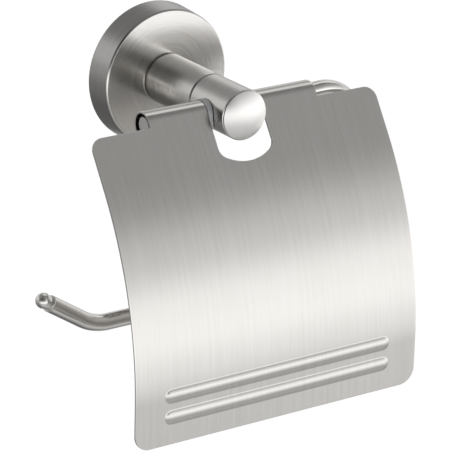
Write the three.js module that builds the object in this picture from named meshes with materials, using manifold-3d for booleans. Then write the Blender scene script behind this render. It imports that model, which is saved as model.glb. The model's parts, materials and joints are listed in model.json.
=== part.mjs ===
// Wall-mounted toilet paper holder with a hinged cover.
// Millimetres, +Z up. The wall is the plane y = 0 and the post leaves it along -Y.
// The origin is the centre of the round base on the wall, and the post's axis is the Y axis.

import * as THREE from "three";
import { mergeVertices } from "three/addons/utils/BufferGeometryUtils.js";
import Module from "manifold-3d";

const wasm = await Module();
wasm.setup();

// ---------------------------------------------------------------- driving dimensions

const GAP = 0.3; // clearance between pieces that touch
const FACETS = 48; // facets round a large turned piece
const FINE_FACETS = 24; // facets round a small turned piece

// Round base
const ROSETTE_BACK_R = 27.7;
const ROSETTE_FRONT_R = 27.0;
const ROSETTE_DEPTH = 11.8;
const ROSETTE_SIDE_WALL = 2.0;
const ROSETTE_FRONT_WALL = 2.4;
const ROSETTE_CHAMFER = 0.6;

// Wall bracket inside the base
const BRACKET_DEPTH = 7.0;
const BRACKET_PLATE = 2.0;
const BRACKET_RIM_WALL = 2.6;
const BRACKET_GROOVE_DEPTH = 1.2;
const BRACKET_LIP = 0.8; // rim left in front of the groove
const BRACKET_HOLE_R = 2.4;
const BRACKET_HOLE_PITCH = 28.0;
const BRACKET_COUNTERSINK_R = 4.4;

// Post: neck, head and cap
const NECK_BACK_R = 9.95;
const NECK_FRONT_R = 9.82;
const NECK_LENGTH = 30.0;
const NECK_FOOT_R = 9.0;
const NECK_FOOT_LENGTH = 0.5;
const NECK_SPIGOT_R = 6.0;
const NECK_SPIGOT_LENGTH = 2.0;
const HEAD_R = 9.72;
const HEAD_LENGTH = 22.2;
const SEAM_CHAMFER = 0.35;
const CAP_INSET = 0.4; // cap's radius under the head's
const CAP_EDGE = 0.2;
const CAP_DOME = 2.4;
const CAP_SPIGOT_R = 6.5;
const CAP_SPIGOT_LENGTH = 2.6;

// Fasteners
const BOLT_R = 2.5;
const BOLT_HEAD_R = 4.6;
const BOLT_HEAD_LENGTH = 3.4;
const BOLT_WEB = 1.0; // metal left between the bolt's hole and the wire's hole
const BOLT_SOCKET_R = 2.1;
const WASHER_R = 6.2;
const WASHER_THICKNESS = 1.2;
const GRUB_R = 2.0;
const GRUB_SOCKET_R = 1.15;
const GRUB_SOCKET_DEPTH = 1.1;
const GRUB_RECESS = 0.5;
const GRUB_POINT = 0.9;

// Hinge line and the wire that makes both the hinge rod and the roll arm
const WIRE_R = 3.2;
const HINGE_FROM_SEAM = 10.5;
const HINGE_DROP = 1.1;
const ROD_RECESS = 0.7; // how far the rod's free end stays inside the cover's barrel
const ARM_LEG_INSET = 3.4; // from the cover's side edge to the centre of the upright leg
const ARM_CORNER_R = 17.3;
const ARM_DROP = 73.8; // hinge line to the roll run
const ARM_TIP_BEND = THREE.MathUtils.degToRad(33);
const ARM_TIP_BEND_R = 20.0;
const ARM_TIP_CORNER_X = -57.7;
const ARM_TIP_LENGTH = 22.9; // from that corner to the end of the wire
const ARM_SHOULDER_RISE = THREE.MathUtils.degToRad(3.4); // slope of the wire as it enters its first bend
const ARM_RISE_FROM_BUSH = 1.0; // straight wire left past the bush before that slope
const WIRE_CHAMFER = 0.6;
const BUTTON_R = 3.0;
const BUTTON_BODY = 2.5; // straight part, before the round end
const BUTTON_CHAMFER = 0.7;
const BUTTON_SPIGOT_R = 1.4;
const BUTTON_SPIGOT_LENGTH = 5.0;

// Nylon bushes
const BUSH_WALL = 0.85;
const BUSH_SLEEVE_LENGTH = 10.0;
const BUSH_FLANGE_OVERHANG = 0.35; // flange radius over the barrel's

// Cover
const SHEET = 0.8;
const COVER_WIDTH = 127.0;
const COVER_LENGTH = 120.6; // along the sheet, from the barrel to the free edge
const COVER_TOP_SLOPE = THREE.MathUtils.degToRad(32.6);
const COVER_TOP_STRAIGHT = 21.8;
const COVER_BEND_R = 139.0;
const COVER_BEND = THREE.MathUtils.degToRad(33.4);
const CURL_WRAP = THREE.MathUtils.degToRad(300);
const BARREL_LENGTH = 25.4;
const SHOULDER_DROP = 2.4; // from the barrel's tangent line to the shoulder's edge
const SHOULDER_CORNER_R = 5.0;
const FREE_CORNER_R = 6.5;
const NOTCH_SIDE_CLEARANCE = 2.15;
const NOTCH_DROP = 6.4; // from the head's underside to the notch's lowest point
const NOTCH_BOTTOM_R = 21.5;
const NOTCH_CORNER_R = 2.0;
const RIB_FROM_FREE_EDGE = [10.9, 19.3];
const RIB_LENGTH = 101.4;
const RIB_HEIGHT = 0.75;
const RIB_WIDTH = 5.4;

// ---------------------------------------------------------------- worked-out dimensions

const seamDepth = ROSETTE_DEPTH + NECK_LENGTH;
const headFront = seamDepth + HEAD_LENGTH;
const hinge = new THREE.Vector3(0, -(seamDepth + HINGE_FROM_SEAM), -HINGE_DROP);
const bushBoreR = WIRE_R + GAP;
const bushSleeveR = bushBoreR + BUSH_WALL;
const barrelInnerR = bushSleeveR + GAP;
const barrelR = barrelInnerR + SHEET;
const barrelStartX = HEAD_R + NOTCH_SIDE_CLEARANCE;
const barrelEndX = barrelStartX + BARREL_LENGTH;
const coverHalfWidth = COVER_WIDTH / 2;
const rosetteCavityR = ROSETTE_FRONT_R - ROSETTE_SIDE_WALL;
const bracketR = rosetteCavityR - GAP;
const grooveFloor = GRUB_R - GRUB_POINT + GAP; // half the flat width at the groove's bottom
const grooveMouth = grooveFloor + BRACKET_GROOVE_DEPTH;
const grubDepth = BRACKET_DEPTH - BRACKET_LIP - grooveMouth;
const ribR = (RIB_WIDTH ** 2 / 4 + RIB_HEIGHT ** 2) / (2 * RIB_HEIGHT);

// ---------------------------------------------------------------- geometry helpers

/** A closed three.js geometry as a solid that can be joined and cut. */
function solid(geometry) {
  const bare = geometry.clone();
  bare.deleteAttribute("normal");
  bare.deleteAttribute("uv");
  const merged = mergeVertices(bare, 1e-4);
  const vertProperties = Float32Array.from(merged.attributes.position.array);
  const triVerts = Uint32Array.from(merged.index.array);
  return new wasm.Manifold(new wasm.Mesh({ numProp: 3, vertProperties, triVerts }));
}

/** A solid as a three.js geometry again. */
function geometryOf(body) {
  const mesh = body.getMesh();
  const geometry = new THREE.BufferGeometry();
  geometry.setAttribute("position", new THREE.BufferAttribute(mesh.vertProperties, 3));
  geometry.setIndex(new THREE.BufferAttribute(mesh.triVerts, 1));
  geometry.computeVertexNormals();
  return geometry;
}

/** Turns a closed [radius, depth] outline about the post's axis, depth being the distance from the wall. */
function turned(outline, facets = FACETS) {
  const points = outline.map(([radius, depth]) => new THREE.Vector2(radius, -depth));
  if (THREE.ShapeUtils.area(points) < 0) points.reverse();
  points.push(points[0].clone());
  return new THREE.LatheGeometry(points, facets);
}

/** A plain bar on the post's axis between two depths. */
function postBar(radius, from, to, facets = FINE_FACETS) {
  return turned([[0, from], [radius, from], [radius, to], [0, to]], facets);
}

/** A bar along X through the hinge line. */
function hingeBar(radius, fromX, toX) {
  const bar = new THREE.CylinderGeometry(radius, radius, toX - fromX, FINE_FACETS);
  bar.rotateZ(-Math.PI / 2);
  return bar.translate((fromX + toX) / 2, hinge.y, hinge.z);
}

/** An upright bar, such as a hole for a grub screw. */
function uprightBar(radius, depth, fromZ, toZ) {
  const bar = new THREE.CylinderGeometry(radius, radius, toZ - fromZ, FINE_FACETS);
  bar.rotateX(Math.PI / 2);
  return bar.translate(0, -depth, (fromZ + toZ) / 2);
}

/** Pushes a section drawn in (y, z) along X. */
function alongX(section, fromX, toX) {
  const depth = toX - fromX;
  const geometry = new THREE.ExtrudeGeometry(section, { depth, bevelEnabled: false, steps: 1 });
  const toFrame = new THREE.Matrix4().makeBasis(
    new THREE.Vector3(0, 1, 0), new THREE.Vector3(0, 0, 1), new THREE.Vector3(1, 0, 0));
  return geometry.applyMatrix4(toFrame).translate(fromX, 0, 0);
}

/** Pushes an outline drawn in (x, z) from the wall out along -Y. */
function alongPost(outline, depth) {
  const settings = { depth, bevelEnabled: false, steps: 1, curveSegments: 10 };
  return new THREE.ExtrudeGeometry(outline, settings).rotateX(Math.PI / 2);
}

// ---------------------------------------------------------------- base on the wall

/** Dished steel disc that is screwed to the wall and that the base is locked onto. */
function wallBracket() {
  const rimInnerR = bracketR - BRACKET_RIM_WALL;
  let body = solid(turned([
    [0, 0], [bracketR, 0],
    [bracketR, grubDepth - grooveMouth], [bracketR - BRACKET_GROOVE_DEPTH, grubDepth - grooveFloor],
    [bracketR - BRACKET_GROOVE_DEPTH, grubDepth + grooveFloor], [bracketR, grubDepth + grooveMouth],
    [bracketR, BRACKET_DEPTH], [rimInnerR, BRACKET_DEPTH],
    [rimInnerR, BRACKET_PLATE], [0, BRACKET_PLATE]]));
  for (const side of [-1, 1]) {
    const hole = turned([
      [0, -1], [BRACKET_HOLE_R, -1], [BRACKET_HOLE_R, 0.4],
      [BRACKET_COUNTERSINK_R, BRACKET_PLATE + 0.1], [0, BRACKET_PLATE + 0.1]], FINE_FACETS);
    body = body.subtract(solid(hole.translate(side * BRACKET_HOLE_PITCH / 2, 0, 0)));
  }
  return geometryOf(body);
}

/** Cup that covers the bracket, with a hole for the post's bolt and one below for its grub screw. */
function rosette() {
  const floor = ROSETTE_DEPTH - ROSETTE_FRONT_WALL;
  const boltHoleR = BOLT_R + GAP;
  const cup = solid(turned([
    [rosetteCavityR, 0], [ROSETTE_BACK_R, 0],
    [ROSETTE_FRONT_R, ROSETTE_DEPTH - ROSETTE_CHAMFER],
    [ROSETTE_FRONT_R - ROSETTE_CHAMFER, ROSETTE_DEPTH],
    [boltHoleR, ROSETTE_DEPTH], [boltHoleR, floor], [rosetteCavityR, floor]]));
  const grubHole = solid(uprightBar(GRUB_R + GAP, grubDepth, -ROSETTE_BACK_R - 2, -bracketR + 0.5));
  return geometryOf(cup.subtract(grubHole));
}

/** Headless screw with a hexagon socket at its lower end and a cone point at its upper end. */
function grubScrew(depth, lowZ, highZ) {
  const length = highZ - lowZ;
  const chamfer = 0.3;
  const outline = [
    [0, 0], [GRUB_R - chamfer, 0], [GRUB_R, chamfer],
    [GRUB_R, length - GRUB_POINT], [GRUB_R - GRUB_POINT, length], [0, length]];
  const screw = new THREE.LatheGeometry(
    outline.map(([radius, height]) => new THREE.Vector2(radius, height)), FINE_FACETS);
  const socket = new THREE.CylinderGeometry(GRUB_SOCKET_R, GRUB_SOCKET_R, 2 * GRUB_SOCKET_DEPTH, 6);
  const body = geometryOf(solid(screw).subtract(solid(socket)));
  return body.rotateX(Math.PI / 2).translate(0, -depth, lowZ);
}

// ---------------------------------------------------------------- post

/** Bar between base and head; its narrower foot leaves a shadow gap at the base. */
function postNeck() {
  const start = ROSETTE_DEPTH + GAP;
  const shoulder = start + NECK_FOOT_LENGTH;
  const end = seamDepth - GAP / 2;
  const bore = BOLT_R + GAP;
  return turned([
    [bore, start], [NECK_FOOT_R, start], [NECK_FOOT_R, shoulder],
    [NECK_BACK_R - SEAM_CHAMFER, shoulder], [NECK_BACK_R, shoulder + SEAM_CHAMFER],
    [NECK_FRONT_R, end - SEAM_CHAMFER], [NECK_FRONT_R - SEAM_CHAMFER, end],
    [NECK_SPIGOT_R, end], [NECK_SPIGOT_R, end + NECK_SPIGOT_LENGTH], [bore, end + NECK_SPIGOT_LENGTH]]);
}

/** Bolt from inside the base through the neck into the head, its head towards the wall. */
function postBolt() {
  const headTop = ROSETTE_DEPTH - ROSETTE_FRONT_WALL - WASHER_THICKNESS - 2 * GAP;
  const headStart = headTop - BOLT_HEAD_LENGTH;
  const end = -hinge.y - WIRE_R - 2 * GAP - BOLT_WEB;
  const chamfer = 0.5;
  const bolt = solid(turned([
    [0, headStart], [BOLT_HEAD_R - chamfer, headStart], [BOLT_HEAD_R, headStart + chamfer],
    [BOLT_HEAD_R, headTop], [BOLT_R, headTop], [BOLT_R, end - chamfer], [BOLT_R - chamfer, end], [0, end]],
    FINE_FACETS));
  const socket = new THREE.CylinderGeometry(BOLT_SOCKET_R, BOLT_SOCKET_R, BOLT_HEAD_LENGTH, 6);
  return geometryOf(bolt.subtract(solid(socket.translate(0, -headStart, 0))));
}

/** Flat ring under the bolt's head. */
function boltWasher() {
  const front = ROSETTE_DEPTH - ROSETTE_FRONT_WALL - GAP;
  const back = front - WASHER_THICKNESS;
  const bore = BOLT_R + GAP;
  return turned([[bore, back], [WASHER_R, back], [WASHER_R, front], [bore, front]], FINE_FACETS);
}

/** Round head with the cross hole for the wire, the bolt's hole behind and the cap's seat in front. */
function postHead() {
  const start = seamDepth + GAP / 2;
  const boltEnd = -hinge.y - WIRE_R - GAP - BOLT_WEB;
  const seat = headFront - GAP / 2 - CAP_SPIGOT_LENGTH - GAP;
  const blank = solid(turned([
    [0, start], [HEAD_R - SEAM_CHAMFER, start], [HEAD_R, start + SEAM_CHAMFER],
    [HEAD_R, headFront - SEAM_CHAMFER], [HEAD_R - SEAM_CHAMFER, headFront - GAP / 2],
    [0, headFront - GAP / 2]]));
  return geometryOf(blank
    .subtract(solid(postBar(NECK_SPIGOT_R + GAP, start - 1, start + NECK_SPIGOT_LENGTH)))
    .subtract(solid(postBar(BOLT_R + GAP, start, boltEnd)))
    .subtract(solid(postBar(CAP_SPIGOT_R + GAP, seat, headFront + 1)))
    .subtract(solid(hingeBar(WIRE_R + GAP, -HEAD_R - 1, HEAD_R + 1)))
    .subtract(solid(uprightBar(GRUB_R + GAP, -hinge.y, -HEAD_R - 1, hinge.z))));
}

/** Domed disc that closes the head, with a spigot behind it. */
function headCap() {
  const back = headFront + GAP / 2;
  const edge = back + CAP_EDGE;
  const rimR = HEAD_R - CAP_INSET;
  const domeR = (rimR ** 2 + CAP_DOME ** 2) / (2 * CAP_DOME);
  const spread = Math.asin(rimR / domeR);
  const steps = 6;
  const dome = [];
  for (let i = 0; i <= steps; i += 1) {
    const angle = spread * (1 - i / steps);
    dome.push([domeR * Math.sin(angle), edge + domeR * (Math.cos(angle) - Math.cos(spread))]);
  }
  return turned([
    [0, back - CAP_SPIGOT_LENGTH], [CAP_SPIGOT_R, back - CAP_SPIGOT_LENGTH], [CAP_SPIGOT_R, back],
    [rimR, back], ...dome]);
}

// ---------------------------------------------------------------- wire

/** Arc in an upright plane parallel to the wall, angles measured from +X towards +Z. */
class ArcInPlane extends THREE.Curve {
  constructor(centre, radius, from, to) {
    super();
    Object.assign(this, { centre, radius, from, to });
  }

  getPoint(t, target = new THREE.Vector3()) {
    const angle = this.from + (this.to - this.from) * t;
    const x = this.centre.x + this.radius * Math.cos(angle);
    return target.set(x, this.centre.y, this.centre.z + this.radius * Math.sin(angle));
  }
}

/** A curve through points at even parameters, so that each step of a sweep ends on one. */
class Polyline extends THREE.Curve {
  constructor(points) {
    super();
    this.points = points;
  }

  getPoint(t, target = new THREE.Vector3()) {
    const place = Math.min(t, 1) * (this.points.length - 1);
    const index = Math.min(Math.floor(place), this.points.length - 2);
    return target.lerpVectors(this.points[index], this.points[index + 1], place - index);
  }

  getPointAt(u, target) {
    return this.getPoint(u, target);
  }
}

/** Centre line of the wire: hinge rod, upright leg, roll run and raised tip. */
function wirePath() {
  const legX = coverHalfWidth - ARM_LEG_INSET;
  const innerX = legX - ARM_CORNER_R;
  const rollZ = hinge.z - ARM_DROP;
  const riseX = barrelStartX + BUSH_SLEEVE_LENGTH + ARM_RISE_FROM_BUSH;
  const shoulderX = innerX - ARM_CORNER_R * Math.sin(ARM_SHOULDER_RISE);
  const shoulderZ = hinge.z + (shoulderX - riseX) * Math.tan(ARM_SHOULDER_RISE);
  const upperZ = shoulderZ - ARM_CORNER_R * Math.cos(ARM_SHOULDER_RISE);
  const lowerZ = rollZ + ARM_CORNER_R;
  const quarter = Math.PI / 2;
  const tangent = ARM_TIP_BEND_R * Math.tan(ARM_TIP_BEND / 2);
  const tipBendX = ARM_TIP_CORNER_X + tangent;
  const point = (x, z) => new THREE.Vector3(x, hinge.y, z);
  const tipDirection = new THREE.Vector3(-Math.cos(ARM_TIP_BEND), 0, Math.sin(ARM_TIP_BEND));
  const alongTip = (distance) => point(ARM_TIP_CORNER_X, rollZ).addScaledVector(tipDirection, distance);
  const tip = alongTip(ARM_TIP_LENGTH);
  const stretches = [
    new THREE.LineCurve3(point(-barrelEndX + ROD_RECESS, hinge.z), point(riseX, hinge.z)),
    new THREE.LineCurve3(point(riseX, hinge.z), point(shoulderX, shoulderZ)),
    new ArcInPlane(point(innerX, upperZ), ARM_CORNER_R, quarter + ARM_SHOULDER_RISE, 0),
    new THREE.LineCurve3(point(legX, upperZ), point(legX, lowerZ)),
    new ArcInPlane(point(innerX, lowerZ), ARM_CORNER_R, 0, -quarter),
    new THREE.LineCurve3(point(innerX, rollZ), point(tipBendX, rollZ)),
    new ArcInPlane(
      point(tipBendX, rollZ + ARM_TIP_BEND_R), ARM_TIP_BEND_R, -quarter, -quarter - ARM_TIP_BEND),
    new THREE.LineCurve3(alongTip(tangent), tip)];
  return { stretches, tip, tipDirection };
}

/** Carries the wire's round section along its stretches, straight ones in a single step. */
function sweptWire(stretches) {
  const arcSteps = 8;
  const points = [stretches[0].getPoint(0)];
  for (const stretch of stretches) {
    const steps = stretch instanceof ArcInPlane ? arcSteps : 1;
    for (let i = 1; i <= steps; i += 1) points.push(stretch.getPoint(i / steps));
  }
  const section = new THREE.Shape();
  section.absarc(0, 0, WIRE_R, 0, 2 * Math.PI);
  return new THREE.ExtrudeGeometry(section, {
    steps: points.length - 1, curveSegments: 9, extrudePath: new Polyline(points) });
}

/** Stands a piece turned about Y at a place, its axis along a direction. */
function aim(geometry, direction, place) {
  const turn = new THREE.Quaternion().setFromUnitVectors(new THREE.Vector3(0, 1, 0), direction);
  return geometry.applyQuaternion(turn).translate(place.x, place.y, place.z);
}

/** The bent wire, its tip chamfered and drilled for the end button. */
function holderArm() {
  const { stretches, tip, tipDirection } = wirePath();
  const chamferR = WIRE_R - WIRE_CHAMFER;
  const cutter = new THREE.LatheGeometry([
    [chamferR, 0], [WIRE_R + 1, -WIRE_CHAMFER - 1], [WIRE_R + 1, 1], [chamferR, 1], [chamferR, 0]]
    .map(([radius, height]) => new THREE.Vector2(radius, height)), FINE_FACETS);
  const drillR = BUTTON_SPIGOT_R + GAP;
  const drill = new THREE.CylinderGeometry(drillR, drillR, 2 * (BUTTON_SPIGOT_LENGTH + GAP), FINE_FACETS);
  return geometryOf(solid(sweptWire(stretches))
    .subtract(solid(aim(cutter, tipDirection, tip)))
    .subtract(solid(aim(drill, tipDirection, tip))));
}

/** Rounded button pressed into the wire's tip. */
function armEndButton() {
  const { tip, tipDirection } = wirePath();
  const steps = 6;
  const outline = [
    [0, -BUTTON_SPIGOT_LENGTH], [BUTTON_SPIGOT_R, -BUTTON_SPIGOT_LENGTH], [BUTTON_SPIGOT_R, GAP],
    [BUTTON_R - BUTTON_CHAMFER, GAP], [BUTTON_R, GAP + BUTTON_CHAMFER]];
  for (let i = 0; i < steps; i += 1) {
    const angle = (i / steps) * Math.PI / 2;
    outline.push([BUTTON_R * Math.cos(angle), GAP + BUTTON_BODY + BUTTON_R * Math.sin(angle)]);
  }
  outline.push([0, GAP + BUTTON_BODY + BUTTON_R]);
  const button = new THREE.LatheGeometry(
    outline.map(([radius, height]) => new THREE.Vector2(radius, height)), FINE_FACETS);
  return aim(button, tipDirection, tip);
}

// ---------------------------------------------------------------- bushes

/** Flanged nylon bush between the head and a barrel; side is -1 on the left and 1 on the right. */
function bush(side) {
  const flangeOuterX = barrelStartX - GAP;
  const sleeveEndX = barrelStartX + BUSH_SLEEVE_LENGTH;
  const fromCentre = (radius, reach) =>
    hingeBar(radius, Math.min(0, side * reach), Math.max(0, side * reach));
  const flange = fromCentre(barrelR + BUSH_FLANGE_OVERHANG, flangeOuterX);
  const sleeve = fromCentre(bushSleeveR, sleeveEndX);
  const bore = hingeBar(bushBoreR, -sleeveEndX - 1, sleeveEndX + 1);
  const headRoom = postBar(HEAD_R + GAP, seamDepth - HEAD_R, headFront + HEAD_R, FACETS);
  return geometryOf(solid(flange).add(solid(sleeve)).subtract(solid(bore)).subtract(solid(headRoom)));
}

// ---------------------------------------------------------------- cover

/** Points and directions of the cover's outer face in (y, z), found by following it down from the barrel. */
function coverLandmarks() {
  const outward = new THREE.Vector2(-Math.cos(COVER_TOP_SLOPE), Math.sin(COVER_TOP_SLOPE));
  const down = new THREE.Vector2(-Math.sin(COVER_TOP_SLOPE), -Math.cos(COVER_TOP_SLOPE));
  const axis = new THREE.Vector2(hinge.y, hinge.z);
  const tangent = axis.clone().addScaledVector(outward, barrelR);
  const bendCentre = tangent.clone()
    .addScaledVector(down, COVER_TOP_STRAIGHT).addScaledVector(outward, -COVER_BEND_R);
  const endSlope = COVER_TOP_SLOPE - COVER_BEND;
  const endOutward = new THREE.Vector2(-Math.cos(endSlope), Math.sin(endSlope));
  const endDown = new THREE.Vector2(-Math.sin(endSlope), -Math.cos(endSlope));
  const straight = COVER_LENGTH - COVER_TOP_STRAIGHT - COVER_BEND_R * COVER_BEND;
  const bendEnd = bendCentre.clone().addScaledVector(endOutward, COVER_BEND_R);
  const freeEdge = bendEnd.clone().addScaledVector(endDown, straight);
  return { outward, down, axis, tangent, bendCentre, bendEnd, endSlope, endOutward, endDown, freeEdge };
}

/** One face of the sheet in (y, z) from free edge to curl end, at a depth below the outer face. */
function coverFace(depth) {
  const mark = coverLandmarks();
  const start = mark.freeEdge.clone().addScaledVector(mark.endOutward, -depth);
  const bendEnd = mark.bendEnd.clone().addScaledVector(mark.endOutward, -depth);
  const topAngle = Math.PI - COVER_TOP_SLOPE;
  const path = new THREE.Path().moveTo(start.x, start.y).lineTo(bendEnd.x, bendEnd.y);
  path.absarc(
    mark.bendCentre.x, mark.bendCentre.y, COVER_BEND_R - depth, Math.PI - mark.endSlope, topAngle, true);
  path.absarc(mark.axis.x, mark.axis.y, barrelR - depth, topAngle, topAngle - CURL_WRAP, true);
  return path.getPoints(16);
}

/** The notch, shoulders and rounded corners as one outline in (x, z). */
function coverOutline() {
  const mark = coverLandmarks();
  const shoulder = mark.tangent.clone().addScaledVector(mark.down, SHOULDER_DROP);
  const lowZ = mark.freeEdge.y;
  const topZ = hinge.z + barrelR + 2;
  const half = coverHalfWidth;
  const side = barrelStartX;
  const arcZ = -HEAD_R - NOTCH_DROP + NOTCH_BOTTOM_R;
  const cornerZ = arcZ - Math.sqrt(NOTCH_BOTTOM_R ** 2 - side ** 2);
  const spread = Math.asin((side - NOTCH_CORNER_R) / NOTCH_BOTTOM_R);
  const arcEndX = NOTCH_BOTTOM_R * Math.sin(spread);
  const arcEndZ = arcZ - NOTCH_BOTTOM_R * Math.cos(spread);
  const cornerHeight = SHOULDER_CORNER_R * Math.cos(COVER_TOP_SLOPE);
  const quarter = Math.PI / 2;
  const shape = new THREE.Shape();
  shape.moveTo(-half + FREE_CORNER_R, lowZ);
  shape.absarc(half - FREE_CORNER_R, lowZ + FREE_CORNER_R, FREE_CORNER_R, -quarter, 0);
  shape.absellipse(
    half - SHOULDER_CORNER_R, shoulder.y - cornerHeight, SHOULDER_CORNER_R, cornerHeight, 0, quarter);
  shape.lineTo(barrelEndX, shoulder.y);
  shape.lineTo(barrelEndX, topZ);
  shape.lineTo(side, topZ);
  shape.lineTo(side, cornerZ + NOTCH_CORNER_R);
  shape.quadraticCurveTo(side, cornerZ, arcEndX, arcEndZ);
  shape.absarc(0, arcZ, NOTCH_BOTTOM_R, -quarter + spread, -quarter - spread, true);
  shape.quadraticCurveTo(-side, cornerZ, -side, cornerZ + NOTCH_CORNER_R);
  shape.lineTo(-side, topZ);
  shape.lineTo(-barrelEndX, topZ);
  shape.lineTo(-barrelEndX, shoulder.y);
  shape.absellipse(
    -half + SHOULDER_CORNER_R, shoulder.y - cornerHeight, SHOULDER_CORNER_R, cornerHeight,
    quarter, 2 * quarter);
  shape.absarc(
    -half + FREE_CORNER_R, lowZ + FREE_CORNER_R, FREE_CORNER_R, 2 * quarter, 3 * quarter);
  return shape;
}

/** What the shoulders lose beyond a barrel's end: the curl, and the sheet down to the shoulder's edge. */
function shoulderCut(fromX, toX) {
  const { tangent, outward, down } = coverLandmarks();
  const reach = 2 * barrelR;
  const place = (out, along) => tangent.clone().addScaledVector(outward, out).addScaledVector(down, along);
  const inside = -SHEET - GAP;
  return alongX(new THREE.Shape([
    place(-reach, -reach), place(1, -reach), place(1, SHOULDER_DROP),
    place(inside, SHOULDER_DROP), place(inside, reach), place(-reach, reach)]), fromX, toX);
}

/** A round-ended bar of some radius, lying where a rib is pressed. */
function ribBar(fromEdge, radius) {
  const { freeEdge, endOutward, endDown } = coverLandmarks();
  const centre = freeEdge.clone()
    .addScaledVector(endDown, -fromEdge).addScaledVector(endOutward, RIB_HEIGHT - ribR);
  const bar = new THREE.CapsuleGeometry(radius, RIB_LENGTH - 2 * ribR, 6, 24);
  return bar.rotateZ(Math.PI / 2).translate(0, centre.x, centre.y);
}

/** Curved sheet with two curled barrels, a notch for the head and two pressed ribs. */
function coverFlap() {
  const section = new THREE.Shape([...coverFace(0), ...coverFace(SHEET).reverse()]);
  let body = solid(alongX(section, -coverHalfWidth, coverHalfWidth));
  body = body.intersect(solid(alongPost(coverOutline(), COVER_LENGTH - hinge.y)));
  body = body.subtract(solid(shoulderCut(barrelEndX, coverHalfWidth + 1)));
  body = body.subtract(solid(shoulderCut(-coverHalfWidth - 1, -barrelEndX)));
  const { freeEdge, endOutward, endDown } = coverLandmarks();
  const place = (out, up) => freeEdge.clone()
    .addScaledVector(endOutward, out).addScaledVector(endDown, -up);
  for (const fromEdge of RIB_FROM_FREE_EDGE) {
    const front = alongX(new THREE.Shape([
      place(ribR, fromEdge - ribR), place(ribR, fromEdge + ribR),
      place(-SHEET / 2, fromEdge + ribR), place(-SHEET / 2, fromEdge - ribR),
    ]), -RIB_LENGTH / 2, RIB_LENGTH / 2);
    body = body.add(solid(ribBar(fromEdge, ribR)).intersect(solid(front)));
    body = body.subtract(solid(ribBar(fromEdge, ribR - SHEET)));
  }
  return geometryOf(body);
}

// ---------------------------------------------------------------- assembly

const steelColour = "#a9a59f";
const steel = { color: steelColour, roughness: 0.35, metalness: 1 };
const wireSteel = { color: "#b4b0a9", roughness: 0.22, metalness: 1 };
const darkSteel = { color: "#5a5955", roughness: 0.5, metalness: 1 };
const zincPlate = { color: "#b9bcc0", roughness: 0.45, metalness: 1 };
const nylon = { color: "#a7a9ad", roughness: 0.55, metalness: 0 };

const holder = new THREE.Group();
const cover = new THREE.Group();
const part = new THREE.Group();
part.name = "toilet_paper_holder";
part.add(holder, cover);

/** Adds one named piece to a group. */
function piece(group, name, geometry, look) {
  const mesh = new THREE.Mesh(geometry, new THREE.MeshStandardMaterial(look));
  mesh.name = name;
  group.add(mesh);
}

const headGrubTop = hinge.z - WIRE_R - GAP;
piece(holder, "wall_bracket", wallBracket(), zincPlate);
piece(holder, "rosette", rosette(), steel);
piece(holder, "rosette_grub_screw", grubScrew(
  grubDepth, -ROSETTE_FRONT_R + GRUB_RECESS, -bracketR + BRACKET_GROOVE_DEPTH - GAP), darkSteel);
piece(holder, "post_bolt", postBolt(), darkSteel);
piece(holder, "post_bolt_washer", boltWasher(), zincPlate);
piece(holder, "post_neck", postNeck(), steel);
piece(holder, "post_head", postHead(), steel);
piece(holder, "head_cap", headCap(), steel);
piece(holder, "head_grub_screw", grubScrew(-hinge.y, -HEAD_R + GRUB_RECESS, headGrubTop), darkSteel);
piece(holder, "holder_arm", holderArm(), wireSteel);
piece(holder, "arm_end_button", armEndButton(), wireSteel);
piece(holder, "bush_left", bush(-1), nylon);
piece(holder, "bush_right", bush(1), nylon);
piece(cover, "cover_flap", coverFlap(), steel);

export default part;
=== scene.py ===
"""Wall-mounted toilet paper holder with a hinged cover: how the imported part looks.

Metres, +Z up. The wall is the plane y = 0 and the post leaves it along -Y.
"""

import json
import logging
import math
from collections.abc import Iterable, Sequence
from dataclasses import dataclass, field
from enum import Enum

import bmesh
import bpy
from mathutils import Matrix, Vector
from mathutils.geometry import delaunay_2d_cdt


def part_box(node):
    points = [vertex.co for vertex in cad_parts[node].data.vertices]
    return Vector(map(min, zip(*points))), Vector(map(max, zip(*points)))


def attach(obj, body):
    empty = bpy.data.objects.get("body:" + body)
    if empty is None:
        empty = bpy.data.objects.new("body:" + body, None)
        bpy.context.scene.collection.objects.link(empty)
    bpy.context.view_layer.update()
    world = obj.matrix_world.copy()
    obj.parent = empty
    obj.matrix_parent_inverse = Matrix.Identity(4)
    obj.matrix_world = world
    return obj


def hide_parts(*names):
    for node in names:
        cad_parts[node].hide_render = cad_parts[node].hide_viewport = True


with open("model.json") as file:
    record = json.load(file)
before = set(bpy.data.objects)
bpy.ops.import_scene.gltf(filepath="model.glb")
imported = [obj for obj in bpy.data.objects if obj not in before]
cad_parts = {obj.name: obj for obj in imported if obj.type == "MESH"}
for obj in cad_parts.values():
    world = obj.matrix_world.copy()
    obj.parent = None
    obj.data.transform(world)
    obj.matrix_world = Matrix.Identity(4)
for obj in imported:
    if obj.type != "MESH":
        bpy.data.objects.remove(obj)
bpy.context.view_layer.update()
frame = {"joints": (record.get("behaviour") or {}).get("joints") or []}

log = logging.getLogger("paper_holder")

MM = 0.001
TURNED_SEGMENTS = 192
SMALL_SEGMENTS = 96
HEXAGON = 6
FILLET_STEPS = 4
DOME_STEPS = 24
LINE_LENGTH = 90  # length of a polishing line over the pitch of the lines
BAND_WIDTH = 9  # width of a broad band over that pitch
BAND_LENGTH = 400  # length of a band over that pitch
RUBBED_METAL = (0.8, 0.79, 0.77)
SHARP_ANGLE = math.radians(38)

JOINT = frame["joints"][0]
HINGE = Vector(JOINT["pos_m"])


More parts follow.
